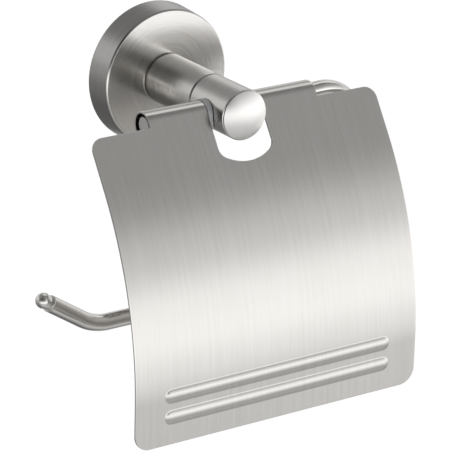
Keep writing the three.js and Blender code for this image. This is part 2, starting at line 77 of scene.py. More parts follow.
class Slot(Enum):
    """The record's material slots."""

    BRUSHED = "brushed_steel"
    WIRE = "wire_steel"
    ZINC = "zinc_plate"
    DARK = "dark_steel"
    NYLON = "nylon"


class Body(Enum):
    """The two bodies that the hinge joins."""

    HOLDER = "holder"
    COVER = "cover"


class Brush(Enum):
    """Which way the polishing lines run on a piece."""

    DOWN_COVER = "down the cover"
    ROUND_POST = "round the post"


# ---------------------------------------------------------------- node graphs


class Signal:
    """One output socket of a node graph, so that sums on it read as sums."""

    def __init__(self, graph: "Graph", socket: bpy.types.NodeSocket) -> None:
        """Keeps the socket with the graph that it belongs to."""
        self.graph = graph
        self.socket = socket

    def __add__(self, other: "float | Signal") -> "Signal":
        """Self plus other."""
        return self.graph.math("ADD", self, other)

    def __radd__(self, other: float) -> "Signal":
        """Other plus self."""
        return self.graph.math("ADD", other, self)

    def __sub__(self, other: "float | Signal") -> "Signal":
        """Self less other."""
        return self.graph.math("SUBTRACT", self, other)

    def __rsub__(self, other: float) -> "Signal":
        """Other less self."""
        return self.graph.math("SUBTRACT", other, self)

    def __mul__(self, other: "float | Signal") -> "Signal":
        """Self times other."""
        return self.graph.math("MULTIPLY", self, other)

    def __rmul__(self, other: float) -> "Signal":
        """Other times self."""
        return self.graph.math("MULTIPLY", other, self)

    def __truediv__(self, other: "float | Signal") -> "Signal":
        """Self over other."""
        return self.graph.math("DIVIDE", self, other)

    def __rtruediv__(self, other: float) -> "Signal":
        """Other over self."""
        return self.graph.math("DIVIDE", other, self)

    def __pow__(self, other: "float | Signal") -> "Signal":
        """Self to the power of other."""
        return self.graph.math("POWER", self, other)

    def at_most(self, other: "float | Signal") -> "Signal":
        """The smaller of self and other."""
        return self.graph.math("MINIMUM", self, other)

    def at_least(self, other: "float | Signal") -> "Signal":
        """The larger of self and other."""
        return self.graph.math("MAXIMUM", self, other)

    def size(self) -> "Signal":
        """Self without its sign."""
        return self.graph.math("ABSOLUTE", self)

    def step_up(self, low: float, high: float) -> "Signal":
        """A soft step from 0 at low to 1 at high.

        Args:
            low: Value at which the step starts.
            high: Value at which it ends; it may be the smaller of the two.

        Returns:
            The step as a signal between 0 and 1.
        """
        node = self.graph.add(
            "ShaderNodeMapRange",
            {"interpolation_type": "SMOOTHSTEP"},
            {"Value": self, "From Min": low, "From Max": high},
        )
        return self.graph.out(node, "Result")


Value = float | Signal


class Graph:
    """A node tree and the few ways in which nodes are added to it."""

    def __init__(self, tree: bpy.types.NodeTree) -> None:
        """Takes an empty or cleared tree."""
        self.tree = tree

    def add(self, kind: str, settings: dict | None = None, values: dict | None = None) -> bpy.types.Node:
        """Adds a node.

        Args:
            kind: Blender's name for the node's type.
            settings: Properties of the node, which are set first; a ramp's stops are
                given as "stops", pairs of place and colour.
            values: Numbers, colours or signals by the socket's identifier or name.

        Returns:
            The node.
        """
        node = self.tree.nodes.new(kind)
        for name, setting in (settings or {}).items():
            if name == "stops":
                self._stops(node.color_ramp, setting)
            else:
                setattr(node, name, setting)
        for key, value in (values or {}).items():
            socket = next(s for s in node.inputs if key in (s.identifier, s.name))
            if isinstance(value, Signal):
                self.tree.links.new(value.socket, socket)
            else:
                socket.default_value = value
        return node

    @staticmethod
    def _stops(ramp: bpy.types.ColorRamp, stops: Sequence[tuple[float, Sequence[float]]]) -> None:
        """Gives a colour ramp its stops, in rising order."""
        ramp.interpolation = "EASE"
        while len(ramp.elements) < len(stops):
            ramp.elements.new(1.0)
        for element, (place, colour) in zip(ramp.elements, stops):
            element.position = place
            element.color = (*colour, 1.0)

    def out(self, node: bpy.types.Node, name: str) -> Signal:
        """The node's output of that identifier or name."""
        return Signal(self, next(s for s in node.outputs if name in (s.identifier, s.name)))

    def math(self, operation: str, *values: Value) -> Signal:
        """Adds a Math node.

        Args:
            operation: Blender's name for the operation.
            values: Its numbers or signals, in order.

        Returns:
            The result.
        """
        node = self.tree.nodes.new("ShaderNodeMath")
        node.operation = operation
        for socket, value in zip(node.inputs, values):
            if isinstance(value, Signal):
                self.tree.links.new(value.socket, socket)
            else:
                socket.default_value = value
        return self.out(node, "Value")

    def split(self, vector: Signal) -> tuple[Signal, Signal, Signal]:
        """The three parts of a vector."""
        node = self.add("ShaderNodeSeparateXYZ", values={"Vector": vector})
        return self.out(node, "X"), self.out(node, "Y"), self.out(node, "Z")

    def join(self, x: Value, y: Value, z: Value) -> Signal:
        """A vector from its three parts."""
        return self.out(self.add("ShaderNodeCombineXYZ", values={"X": x, "Y": y, "Z": z}), "Vector")


class Paint(Graph):
    """The graph of a material or of the world."""

    def place(self) -> tuple[Signal, Signal, Signal]:
        """The three parts of a point's place on the object."""
        return self.split(self.out(self.add("ShaderNodeTexCoord"), "Object"))

    def noise(self, vector: Signal, scale: float = 1.0, detail: float = 2.0) -> Signal:
        """Soft noise between 0 and 1 over a vector."""
        node = self.add("ShaderNodeTexNoise", values={"Vector": vector, "Scale": scale, "Detail": detail})
        return self.out(node, "Fac")

    def attribute(self, name: str, output: str = "Fac") -> Signal:
        """What the mesh stores under that name."""
        return self.out(self.add("ShaderNodeAttribute", {"attribute_name": name}), output)

    def mix(self, mask: Value, low: "Signal | Sequence[float]", high: "Signal | Sequence[float]") -> Signal:
        """Goes from one colour to another.

        Args:
            mask: 0 for the first colour and 1 for the second.
            low: The first colour.
            high: The second colour.

        Returns:
            The mixed colour.
        """
        ends = {
            key: end if isinstance(end, Signal) else (*end, 1.0)
            for key, end in (("A_Color", low), ("B_Color", high))
        }
        node = self.add("ShaderNodeMix", {"data_type": "RGBA"}, {"Factor_Float": mask, **ends})
        return self.out(node, "Result_Color")

    def shade(self, colour: Signal, factor: Signal) -> Signal:
        """Multiplies a colour by a plain number."""
        node = self.add("ShaderNodeVectorMath", {"operation": "SCALE"}, {"Vector": colour, "Scale": factor})
        return self.out(node, "Vector")

    def bump(self, height: Signal, distance: float, under: Signal | None = None) -> Signal:
        """Turns a height into a normal.

        Args:
            height: The height, where 1 stands for the distance.
            distance: How high a height of 1 is, in metres.
            under: A normal that this one goes on top of.

        Returns:
            The normal.
        """
        values: dict = {"Height": height, "Distance": distance, "Strength": 1.0}
        if under is not None:
            values["Normal"] = under
        return self.out(self.add("ShaderNodeBump", values=values), "Normal")

    def feed(
        self, surface: bpy.types.Node, colour: Signal, rough: Signal, normal: Signal, metallic: float
    ) -> None:
        """Links a surface shader's colour, roughness and normal, and sets how metallic it is."""
        for name, signal in (("Base Color", colour), ("Roughness", rough), ("Normal", normal)):
            self.tree.links.new(signal.socket, surface.inputs[name])
        surface.inputs["Metallic"].default_value = metallic


class Recipe(Graph):
    """A Geometry Nodes tree with named sizes, which turns a plain base into a finished mesh."""

    def __init__(self, name: str, sizes: Iterable[str], counts: Iterable[str] = ()) -> None:
        """Makes the tree with one input for each size and count, and one for the material."""
        super().__init__(bpy.data.node_groups.new(name, "GeometryNodeTree"))
        face = self.tree.interface
        face.new_socket("Geometry", in_out="OUTPUT", socket_type="NodeSocketGeometry")
        kinds = {"Geometry": "NodeSocketGeometry", **{size: "NodeSocketFloat" for size in sizes}}
        kinds |= {**{count: "NodeSocketInt" for count in counts}, "Material": "NodeSocketMaterial"}
        self.sockets = {
            label: face.new_socket(label, in_out="INPUT", socket_type=kind).identifier
            for label, kind in kinds.items()
        }
        self.inputs = self.tree.nodes.new("NodeGroupInput")

    def given(self, name: str) -> Signal:
        """The tree's input of that name."""
        return self.out(self.inputs, self.sockets[name])

    def capture(self, geometry: Signal, kind: str, name: str, value: Signal) -> Signal:
        """Stores a value on the points under a name, so that a material can read it."""
        node = self.add(
            "GeometryNodeStoreNamedAttribute",
            {"data_type": kind, "domain": "POINT"},
            {"Geometry": geometry, "Name": name, "Value": value},
        )
        return self.out(node, "Geometry")

    def close(self, geometry: Signal) -> None:
        """Ends the tree: instances made real, and the material set."""
        real = self.add("GeometryNodeRealizeInstances", values={"Geometry": geometry})
        dressed = self.add(
            "GeometryNodeSetMaterial",
            values={"Geometry": self.out(real, "Geometry"), "Material": self.given("Material")},
        )
        end = self.tree.nodes.new("NodeGroupOutput")
        self.tree.links.new(self.out(dressed, "Geometry").socket, end.inputs[0])

    def bake(self, base: bpy.types.Object, values: dict) -> None:
        """Runs the tree on an object and leaves the result as its plain mesh.

        Args:
            base: The object; its mesh is replaced.
            values: The value of each named input.
        """
        modifier = base.modifiers.new(self.tree.name, "NODES")
        modifier.node_group = self.tree
        for label, value in values.items():
            modifier[self.sockets[label]] = value
        flatten(base)


# ---------------------------------------------------------------- mesh making


def flatten(piece: bpy.types.Object) -> None:
    """Turns a piece's modifiers into its plain mesh."""
    bpy.context.view_layer.update()
    depsgraph = bpy.context.evaluated_depsgraph_get()
    mesh = bpy.data.meshes.new_from_object(
        piece.evaluated_get(depsgraph), preserve_all_data_layers=True, depsgraph=depsgraph
    )
    piece.modifiers.clear()
    old, piece.data = piece.data, mesh
    mesh.name = piece.name
    bpy.data.meshes.remove(old)


def smooth(piece: bpy.types.Object) -> None:
    """Turns a closed piece's faces outward and shades it smooth up to its sharp edges."""
    shape = bmesh.new()
    shape.from_mesh(piece.data)
    bmesh.ops.remove_doubles(shape, verts=shape.verts, dist=1e-7)
    bmesh.ops.recalc_face_normals(shape, faces=shape.faces)
    shape.to_mesh(piece.data)
    shape.free()
    piece.data.shade_smooth()
    piece.data.set_sharp_from_angle(angle=SHARP_ANGLE)


def cut(piece: bpy.types.Object, cutters: Iterable[bpy.types.Object]) -> None:
    """Takes the cutters' shapes out of a piece, and removes the cutters."""
    tools = list(cutters)
    for tool in tools:
        modifier = piece.modifiers.new("cut", "BOOLEAN")
        modifier.operation = "DIFFERENCE"
        modifier.solver = "EXACT"
        modifier.object = tool
    flatten(piece)
    for tool in tools:
        bpy.data.objects.remove(tool)


class Draft:
    """Points and faces of a piece while it is being made."""

    def __init__(self) -> None:
        """Starts empty."""
        self.points: list[Vector] = []
        self.faces: list[tuple[int, ...]] = []

    def row(self, places: Iterable[Sequence[float]]) -> list[int]:
        """Adds points and returns their numbers."""
        start = len(self.points)
        self.points.extend(Vector(place) for place in places)
        return list(range(start, len(self.points)))

    def bridge(self, first: Sequence[int], second: Sequence[int]) -> None:
        """Joins two closed rows with faces; a row of one point is a pole."""
        count = max(len(first), len(second))
        for i in range(count):
            j = (i + 1) % count
            near = [first[i % len(first)], first[j % len(first)]]
            far = [second[j % len(second)], second[i % len(second)]]
            self.faces.append(tuple(dict.fromkeys([*near, *far])))

    def build(self, name: str) -> bpy.types.Object:
        """Makes the object."""
        mesh = bpy.data.meshes.new(name)
        mesh.from_pydata(self.points, [], self.faces)
        piece = bpy.data.objects.new(name, mesh)
        bpy.context.scene.collection.objects.link(piece)
        return piece


@dataclass(frozen=True)
class Corner:
    """One corner of a turned outline.

    Attributes:
        radius: Distance from the axis.
        along: Distance along the axis.
        fillet: Radius of the rounding there.
    """

    radius: float
    along: float
    fillet: float = 0.0


def rounded(corners: Sequence[Corner]) -> list[tuple[float, float]]:
    """Rounds the corners of an outline that runs round in a closed loop.

    Args:
        corners: The corners in order.

    Returns:
        Pairs of radius and distance along the axis, with a point just outside each
        rounding that keeps the flats flat.
    """
    support = 0.06 * MM
    path: list[tuple[float, float]] = []
    for i, corner in enumerate(corners):
        here = Vector((corner.radius, corner.along))
        if not corner.fillet:
            path.append(here[:])
            continue
        beside = (corners[i - 1], corners[(i + 1) % len(corners)])
        sides = [Vector((c.radius, c.along)) - here for c in beside]
        room = [side.length for side in sides]
        back, ahead = (side.normalized() for side in sides)
        half = back.angle(ahead) / 2
        reach = corner.fillet / math.tan(half)
        centre = here + (back + ahead).normalized() * (corner.fillet / math.sin(half))
        start, end = here + back * reach, here + ahead * reach
        if room[0] > reach + 2 * support:
            path.append((start + back * support)[:])
        turn = math.pi - 2 * half
        for k in range(FILLET_STEPS + 1):
            share = k / FILLET_STEPS
            spoke = (start - centre) * math.sin((1 - share) * turn) + (end - centre) * math.sin(share * turn)
            path.append((centre + spoke / math.sin(turn))[:])
        if room[1] > reach + 2 * support:
            path.append((end + ahead * support)[:])
    return path


def turned(
    name: str,
    corners: Sequence[Corner],
    axis: Matrix,
    segments: int = TURNED_SEGMENTS,
    steps: Sequence[tuple[float, float]] = (),
) -> bpy.types.Object:
    """Turns an outline about an axis.

    Args:
        name: The object's name.
        corners: The outline's corners; it closes on itself, or at the axis.
        axis: Takes the local Z axis to the axis of the piece.
        segments: How many faces go round.
        steps: More pairs of radius and distance, put after the corners as they are.

    Returns:
        The closed piece.
    """
    path = [*rounded(corners), *steps]
    draft = Draft()
    rows = []
    for radius, along in path:
        if radius < 1e-9:
            rows.append(draft.row([axis @ Vector((0, 0, along))]))
            continue
        turns = (math.tau * k / segments for k in range(segments))
        ring = (Vector((radius * math.cos(a), radius * math.sin(a), along)) for a in turns)
        rows.append(draft.row(axis @ place for place in ring))
    for first, second in zip(rows, [*rows[1:], rows[0]]):
        if len(first) > 1 or len(second) > 1:
            draft.bridge(first, second)
    piece = draft.build(name)
    smooth(piece)
    return piece


def post_axis(x: float = 0.0) -> Matrix:
    """Local Z to the post's direction away from the wall."""
    return Matrix.Translation((x, 0, 0)) @ Matrix.Rotation(math.pi / 2, 4, "X")


def hinge_axis(side: int = 1) -> Matrix:
    """Local Z to the hinge's direction, to the right for side 1 and to the left for side -1."""
    return Matrix.Translation((0, HINGE.y, HINGE.z)) @ Matrix.Rotation(side * math.pi / 2, 4, "Y")


def upright_axis(depth: float) -> Matrix:
    """Local Z upward, at that distance from the wall."""
    return Matrix.Translation((0, -depth, 0))


def bar(
    name: str, radius: float, low: float, high: float, axis: Matrix, sides: int = SMALL_SEGMENTS
) -> bpy.types.Object:
    """A plain bar, for cutting with."""
    outline = (Corner(0, low), Corner(radius, low), Corner(radius, high), Corner(0, high))
    return turned(name, outline, axis, sides)


# ---------------------------------------------------------------- finishes


@dataclass(frozen=True)
class Finish:
    """A finish of which each kind paints its own surface."""

    def paint_on(self, paint: Paint, surface: bpy.types.Node) -> None:
        """Feeds the surface shader; each kind of finish has its own way."""
        raise NotImplementedError

    def material(self, name: str) -> bpy.types.Material:
        """Makes the material.

        Args:
            name: The material's name.

        Returns:
            The material.
        """
        material, paint, surface = new_material(name)
        self.paint_on(paint, surface)
        return material


@dataclass(frozen=True)
class BrushedNickel(Finish):
    """Satin nickel with fine polishing lines.

    Attributes:
        brush: Which way the lines run.
        light: Colour of the clean metal.
        dull: Colour along the duller lines.
        roughness: Mean roughness.
        line_pitch: Typical distance between fine lines.
        line_depth: Depth of the fine lines.
        edge_wear: How much brighter and smoother the rubbed edges are.
        painted_shade_radius: Distance from the post's axis beyond which the colour is darkened, as painted
            shade on the rosette's side.
    """

    brush: Brush
    light: tuple[float, float, float] = (0.70, 0.685, 0.66)
    dull: tuple[float, float, float] = (0.655, 0.64, 0.612)
    roughness: float = 0.19
    line_pitch: float = 0.16 * MM
    line_depth: float = 0.016 * MM
    edge_wear: float = 1.0
    painted_shade_radius: float = 1.0

    def _across(self, paint: Paint) -> tuple[Signal, Signal, Signal]:
        """Where a point is across the lines, along them, and a second distance across."""
        x, y, z = paint.place()
        if self.brush is Brush.DOWN_COVER:
            return x, z, y
        radius = (x * x + z * z) ** 0.5
        angle = paint.math("ARCTAN2", x, z)
        return radius, angle * (12 * MM), y

    def paint_on(self, paint: Paint, surface: bpy.types.Node) -> None:
        """Feeds the surface with fine lines, broad bands and soft clouds, and on turned pieces with painted
        shade beyond a radius.
        """
        across, along, second = self._across(paint)
        fine = 1 / self.line_pitch
        turned_piece = self.brush is Brush.ROUND_POST
        sideways = fine if turned_piece else 0.0
        stretched = paint.join(across * fine, along * (fine / LINE_LENGTH), second * sideways)
        lines = paint.noise(stretched, 1.0, 3.0)
        band = fine / BAND_WIDTH
        banded = paint.join(across * band, along * (fine / BAND_LENGTH), second * (sideways / BAND_WIDTH))
        broad = paint.noise(banded)
        clouds = paint.noise(paint.join(across, along, second), 1 / (26 * MM))
        mask = (lines * 0.45 + broad * 0.35 + clouds * 0.2).step_up(0.36, 0.64)
        metal = paint.mix(mask, self.dull, self.light)
        if turned_piece:
            # Painted shade: beyond the radius the colour is darkened to stand for the shade on the rosette's
            # side.
            outside = across.step_up(self.painted_shade_radius, self.painted_shade_radius + 0.3 * MM)
            metal = paint.shade(metal, 1 - outside * 0.45)
        rubbed = paint.attribute("rim").step_up(0.5 * MM, 0.05 * MM) * self.edge_wear
        colour = paint.mix(rubbed * 0.7, metal, RUBBED_METAL)
        rough = self.roughness + (lines - 0.5) * 0.12 + (broad - 0.5) * 0.08 - rubbed * 0.05
        ripple = paint.bump(clouds, 0.02 * MM)
        paint.feed(surface, colour, rough, paint.bump(lines, self.line_depth, ripple), metallic=1.0)


@dataclass(frozen=True)
class DrawnWire(Finish):
    """Drawn and buffed steel wire: smoother, with faint lines along it and coarse sawn ends.

    Attributes:
        light: Colour of the clean metal.
        dull: Colour along the drawing lines.
        roughness: Mean roughness.
        follows_path: True where the mesh stores its section and its run along the wire.
    """

    light: tuple[float, float, float] = (0.86, 0.84, 0.81)
    dull: tuple[float, float, float] = (0.76, 0.74, 0.71)
    roughness: float = 0.13
    follows_path: bool = True

    def paint_on(self, paint: Paint, surface: bpy.types.Node) -> None:
        """Feeds the surface with lines, small pits and, at the wire's ends, saw marks."""
        x, y, z = paint.place()
        if self.follows_path:
            u, v, _ = paint.split(paint.attribute("section", "Vector"))
            vector = paint.join(u * 9, v * 9, paint.attribute("run") * 110)
        else:
            vector = paint.join(x * 3800, y * 3800, z * 3800)
        lines = paint.noise(vector, 1.0, 4.0)
        pits = paint.noise(paint.join(x, y, z), 1 / (0.35 * MM))
        colour = paint.mix(lines.step_up(0.3, 0.7), self.dull, self.light)
        rough = self.roughness + (lines - 0.5) * 0.12 + (pits - 0.5) * 0.05
        if self.follows_path:
            sawn = paint.attribute("swell").step_up(0.97, 0.90)
            rough = rough + sawn * 0.35
            facets = paint.noise(paint.join(x, y, z), 1 / (0.55 * MM), 1.0)
            pits = pits * (1 - sawn) + facets * sawn * 60.0
        grain = paint.bump(pits, 0.004 * MM)
        paint.feed(surface, colour, rough, paint.bump(lines, 0.012 * MM, grain), metallic=1.0)


@dataclass(frozen=True)
class MilkyNylon(Finish):
    """Moulded grey nylon that lets a little light in.

    Attributes:
        light: Colour where it is thin.
        deep: Colour where it is thick.
    """

    light: tuple[float, float, float] = (0.74, 0.74, 0.755)
    deep: tuple[float, float, float] = (0.62, 0.62, 0.635)

    def paint_on(self, paint: Paint, surface: bpy.types.Node) -> None:
        """Feeds the surface with flow marks and a fine grain."""
        place = paint.join(*paint.place())
        flow = paint.noise(place, 1 / (3 * MM), 3.0)
        grain = paint.noise(place, 1 / (0.25 * MM))
        colour = paint.mix(flow.step_up(0.35, 0.65), self.deep, self.light)
        rough = 0.42 + (grain - 0.5) * 0.2
        paint.feed(surface, colour, rough, paint.bump(grain, 0.01 * MM), metallic=0.0)
        surface.inputs["Subsurface Weight"].default_value = 0.12
        surface.inputs["Subsurface Radius"].default_value = (1.0, 1.0, 1.1)
        surface.inputs["Subsurface Scale"].default_value = 1.0 * MM
        surface.inputs["IOR"].default_value = 1.53


@dataclass(frozen=True)
class PlatedSteel(Finish):
    """Plated or oiled steel of parts that are out of sight.

    Attributes:
        light: Colour of the rubbed spots.
        dull: Colour of the rest.
        roughness: Mean roughness.
        grain: Size of the crystals or tool marks.
    """

    light: tuple[float, float, float]
    dull: tuple[float, float, float]
    roughness: float
    grain: float

    def paint_on(self, paint: Paint, surface: bpy.types.Node) -> None:
        """Feeds the surface with crystals under soft clouds."""
        place = paint.join(*paint.place())
        sizes = {"Vector": place, "Scale": 1 / self.grain, "Randomness": 1.0}
        cells = paint.add("ShaderNodeTexVoronoi", {"feature": "F1"}, sizes)
        shade = paint.split(paint.out(cells, "Color"))[0]
        cloud = paint.noise(place, 1 / (6 * self.grain), 3.0)
        colour = paint.mix((shade * 0.5 + cloud * 0.5).step_up(0.25, 0.75), self.dull, self.light)
        rough = self.roughness + (shade - 0.5) * 0.2
        relief = paint.bump(shade * 0.6 + cloud * 0.4, 0.01 * MM)
        paint.feed(surface, colour, rough, relief, metallic=1.0)


def new_material(name: str) -> tuple[bpy.types.Material, Paint, bpy.types.Node]:
    """Starts a material.

    Args:
        name: The material's name.

    Returns:
        The material, its graph and its surface shader, which is linked to the output.
    """
    material = bpy.data.materials.new(name)
    material.use_nodes = True
    material.node_tree.nodes.clear()
    paint = Paint(material.node_tree)
    surface = paint.add("ShaderNodeBsdfPrincipled")
    end = paint.add("ShaderNodeOutputMaterial")
    paint.tree.links.new(surface.outputs["BSDF"], end.inputs["Surface"])
    return material, paint, surface


class Finishes:
    """One material for each finish of the holder."""

    def __init__(self) -> None:
        """Makes the materials."""
        self.sheet = BrushedNickel(Brush.DOWN_COVER).material("nickel_brushed_down")
        # The rosette's face finish darkens the colour beyond 26.6 mm as painted shade on the rosette's side.
        self.face = BrushedNickel(
            Brush.ROUND_POST, (0.88, 0.865, 0.84), (0.80, 0.785, 0.76), roughness=0.20,
            line_pitch=0.12 * MM, line_depth=0.005 * MM, edge_wear=0.0, painted_shade_radius=26.6 * MM,
        ).material("nickel_turned_face")
        self.turned = BrushedNickel(
            Brush.ROUND_POST, roughness=0.22, line_pitch=0.14 * MM, line_depth=0.007 * MM,
            edge_wear=0.0,
        ).material("nickel_turned")
        self.cap = BrushedNickel(
            Brush.ROUND_POST, (0.96, 0.95, 0.93), (0.90, 0.89, 0.87), roughness=0.36,
            line_pitch=0.1 * MM, line_depth=0.003 * MM, edge_wear=0.0,
        ).material("nickel_cap")
        self.wire = DrawnWire().material("steel_wire")
        self.button = DrawnWire(
            (0.93, 0.91, 0.88), (0.84, 0.82, 0.79), 0.26, follows_path=False
        ).material("steel_button")
        self.nylon = MilkyNylon().material("nylon_grey")
        self.zinc = PlatedSteel(
            (0.66, 0.68, 0.70), (0.50, 0.52, 0.55), 0.38, 1.1 * MM
        ).material("zinc_spangle")
        self.dark = PlatedSteel(
            (0.22, 0.215, 0.205), (0.10, 0.098, 0.094), 0.42, 0.4 * MM
        ).material("screw_oiled")


def hand_over(
    piece: bpy.types.Object,
    material: bpy.types.Material,
    node: str,
    slot: Slot,
    body: Body = Body.HOLDER,
) -> None:
    """Dresses a piece, hides its CAD node and hangs it on its body's empty.

    Args:
        piece: The finished piece.
        material: Its material.
        node: The CAD node that it stands for.
        slot: Not used.
        body: The body that it rides on.
    """
    piece.data.materials.clear()
    piece.data.materials.append(material)
    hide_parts(node)
    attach(piece, body.value)
    log.info("%s: %d faces for %s", piece.name, len(piece.data.polygons), node)


# ---------------------------------------------------------------- screws


@dataclass
class Thread:
    """A rolled thread, pressed into a plain bar by a Geometry Nodes tree.

    Attributes:
        pitch: Distance from one turn to the next.
        depth: Depth of the groove.
    """

    pitch: float = 0.5 * MM
    depth: float = 0.22 * MM
    recipe: Recipe = field(init=False)

    def __post_init__(self) -> None:
        """Builds the tree: a groove that winds round the local Z axis between two heights."""
        recipe = Recipe("rolled_thread", ("Pitch", "Depth", "Low", "High", "Crest radius"))
        place = recipe.out(recipe.add("GeometryNodeInputPosition"), "Position")
        x, y, z = recipe.split(place)
        turn = recipe.math("ARCTAN2", y, x) / math.tau
        phase = recipe.math("FRACT", z / recipe.given("Pitch") - turn + 1.0)
        groove = 1 - (phase - 0.5).size() * 2
        radius = (x * x + y * y) ** 0.5
        on_side = recipe.math("GREATER_THAN", radius, recipe.given("Crest radius") - 0.02 * MM)
        fade = recipe.given("Pitch")
        inside = ((z - recipe.given("Low")) / fade).at_most((recipe.given("High") - z) / fade)
        sink = groove * recipe.given("Depth") * on_side * inside.at_least(0.0).at_most(1.0)
        scale = 1 - sink / radius.at_least(0.01 * MM)
        moved = recipe.add(
            "GeometryNodeSetPosition",
            values={"Geometry": recipe.given("Geometry"), "Position": recipe.join(x * scale, y * scale, z)},
        )
        recipe.close(recipe.out(moved, "Geometry"))
        self.recipe = recipe

    def press(
        self,
        piece: bpy.types.Object,
        radius: float,
        low: float,
        high: float,
        material: bpy.types.Material,
    ) -> None:
        """Presses the thread into a bar that stands on the local Z axis.

        Args:
            piece: The bar, with rings close enough together to carry the groove.
            radius: The bar's radius.
            low: Where the thread starts.
            high: Where it ends.
            material: The bar's finish.
        """
        sizes = {"Pitch": self.pitch, "Depth": self.depth, "Low": low, "High": high}
        self.recipe.bake(piece, {**sizes, "Crest radius": radius, "Material": material})


@dataclass
class GrubScrew:
    """Headless screw with a hexagon socket below and a cone point above.

    Attributes:
        radius: Radius of the thread's crests.
        socket_radius: Corner radius of the hexagon socket.
        socket_depth: Depth of the socket.
        point: Height of the cone point.
    """

    radius: float = 2.0 * MM
    socket_radius: float = 1.15 * MM
    socket_depth: float = 1.1 * MM
    point: float = 0.9 * MM

    def build(self, name: str, node: str, thread: Thread, material: bpy.types.Material) -> None:
        """Makes the screw where its CAD node stands.

        Args:
            name: The piece's name.
            node: The CAD node.
            thread: The thread for its side.
            material: Its finish.
        """
        low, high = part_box(node)
        length = high.z - low.z
        rings = 12 * round((length - self.point) / thread.pitch)
        top = length - self.point
        steps = [(self.radius, 0.3 * MM + (top - 0.3 * MM) * k / rings) for k in range(rings + 1)]
        corners = (Corner(0, 0), Corner(self.radius - 0.3 * MM, 0))
        ends = ((self.radius - self.point, length), (0.0, length))
        screw = turned(name, corners, Matrix.Identity(4), SMALL_SEGMENTS, [*steps, *ends])
        thread.press(screw, self.radius, 0.3 * MM, top, material)
        depth = self.socket_depth
        cut(screw, [bar("socket", self.socket_radius, -depth, depth, Matrix.Identity(4), HEXAGON)])
        screw.data.transform(Matrix.Translation((0, (low.y + high.y) / 2, low.z)))
        smooth(screw)
        hand_over(screw, material, node, Slot.DARK)


# ---------------------------------------------------------------- base on the wall


@dataclass
class WallBase:
    """The rosette, the bracket that it covers and the grub screw that locks them.

    Attributes:
        side_wall: Thickness of the rosette's side.
        front_wall: Thickness of its face.
        chamfer: Chamfer round its face.
        bolt_hole: Radius of the hole for the post's bolt.
        front_radius: Radius of its face.
        plate: Thickness of the bracket's plate.
        rim_wall: Thickness of its rim.
        groove_depth: Depth of the groove round the rim.
        groove_floor: Half the width of the groove's flat bottom.
        hole_radius: Radius of its screw holes.
        hole_pitch: Distance between them.
        countersink: Radius of their countersinks.
        screw_hole: Radius of the hole for the grub screw in the rosette's side.
    """

    side_wall: float = 2.0 * MM
    front_wall: float = 2.4 * MM
    chamfer: float = 0.6 * MM
    bolt_hole: float = 2.8 * MM
    front_radius: float = 27.0 * MM
    plate: float = 2.0 * MM
    rim_wall: float = 2.6 * MM
    groove_depth: float = 1.2 * MM
    groove_floor: float = 1.4 * MM
    hole_radius: float = 2.4 * MM
    hole_pitch: float = 28.0 * MM
    countersink: float = 4.4 * MM
    screw_hole: float = 2.3 * MM

    def rosette(self, material: bpy.types.Material) -> None:
        """Makes the cup that shows on the wall."""
        low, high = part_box("rosette")
        back, depth = high.x, -low.y
        cavity, floor = self.front_radius - self.side_wall, depth - self.front_wall
        outline = (
            Corner(cavity, 0, 0.15 * MM), Corner(back, 0, 0.2 * MM),
            Corner(self.front_radius, depth - self.chamfer, 0.25 * MM),
            Corner(self.front_radius - self.chamfer, depth, 0.25 * MM),
            Corner(self.bolt_hole, depth), Corner(self.bolt_hole, floor), Corner(cavity, floor, 0.8 * MM))
        cup = turned("rosette_cup", outline, post_axis())
        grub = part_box("rosette_grub_screw")
        level = upright_axis(-(grub[0].y + grub[1].y) / 2)
        hole = bar("hole", self.screw_hole, -back - MM, -cavity + MM, level)
        cut(cup, [hole])
        smooth(cup)
        hand_over(cup, material, "rosette", Slot.BRUSHED)

    def bracket(self, material: bpy.types.Material) -> None:
        """Makes the dished disc that is screwed to the wall."""
        low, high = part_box("wall_bracket")
        radius, depth = high.x, -low.y
        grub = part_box("rosette_grub_screw")
        centre = -(grub[0].y + grub[1].y) / 2
        floor, mouth = self.groove_floor, self.groove_floor + self.groove_depth
        waist = radius - self.groove_depth
        rim = radius - self.rim_wall
        outline = (
            Corner(0, 0), Corner(radius, 0, 0.3 * MM),
            Corner(radius, centre - mouth, 0.1 * MM), Corner(waist, centre - floor, 0.1 * MM),
            Corner(waist, centre + floor, 0.1 * MM), Corner(radius, centre + mouth, 0.1 * MM),
            Corner(radius, depth, 0.3 * MM), Corner(rim, depth, 0.3 * MM),
            Corner(rim, self.plate, 0.8 * MM), Corner(0, self.plate))
        disc = turned("bracket_disc", outline, post_axis())
        sink = (
            Corner(0, -MM), Corner(self.hole_radius, -MM), Corner(self.hole_radius, 0.4 * MM),
            Corner(self.countersink, self.plate + 0.1 * MM), Corner(0, self.plate + 0.1 * MM))
        places = [post_axis(side * self.hole_pitch / 2) for side in (-1, 1)]
        cut(disc, [turned("sink", sink, place, SMALL_SEGMENTS) for place in places])
        smooth(disc)
        hand_over(disc, material, "wall_bracket", Slot.ZINC)

    def build(self, finishes: Finishes, thread: Thread) -> None:
        """Makes the base."""
        self.bracket(finishes.zinc)
        self.rosette(finishes.face)
        GrubScrew().build("rosette_grub", "rosette_grub_screw", thread, finishes.dark)


# ---------------------------------------------------------------- post


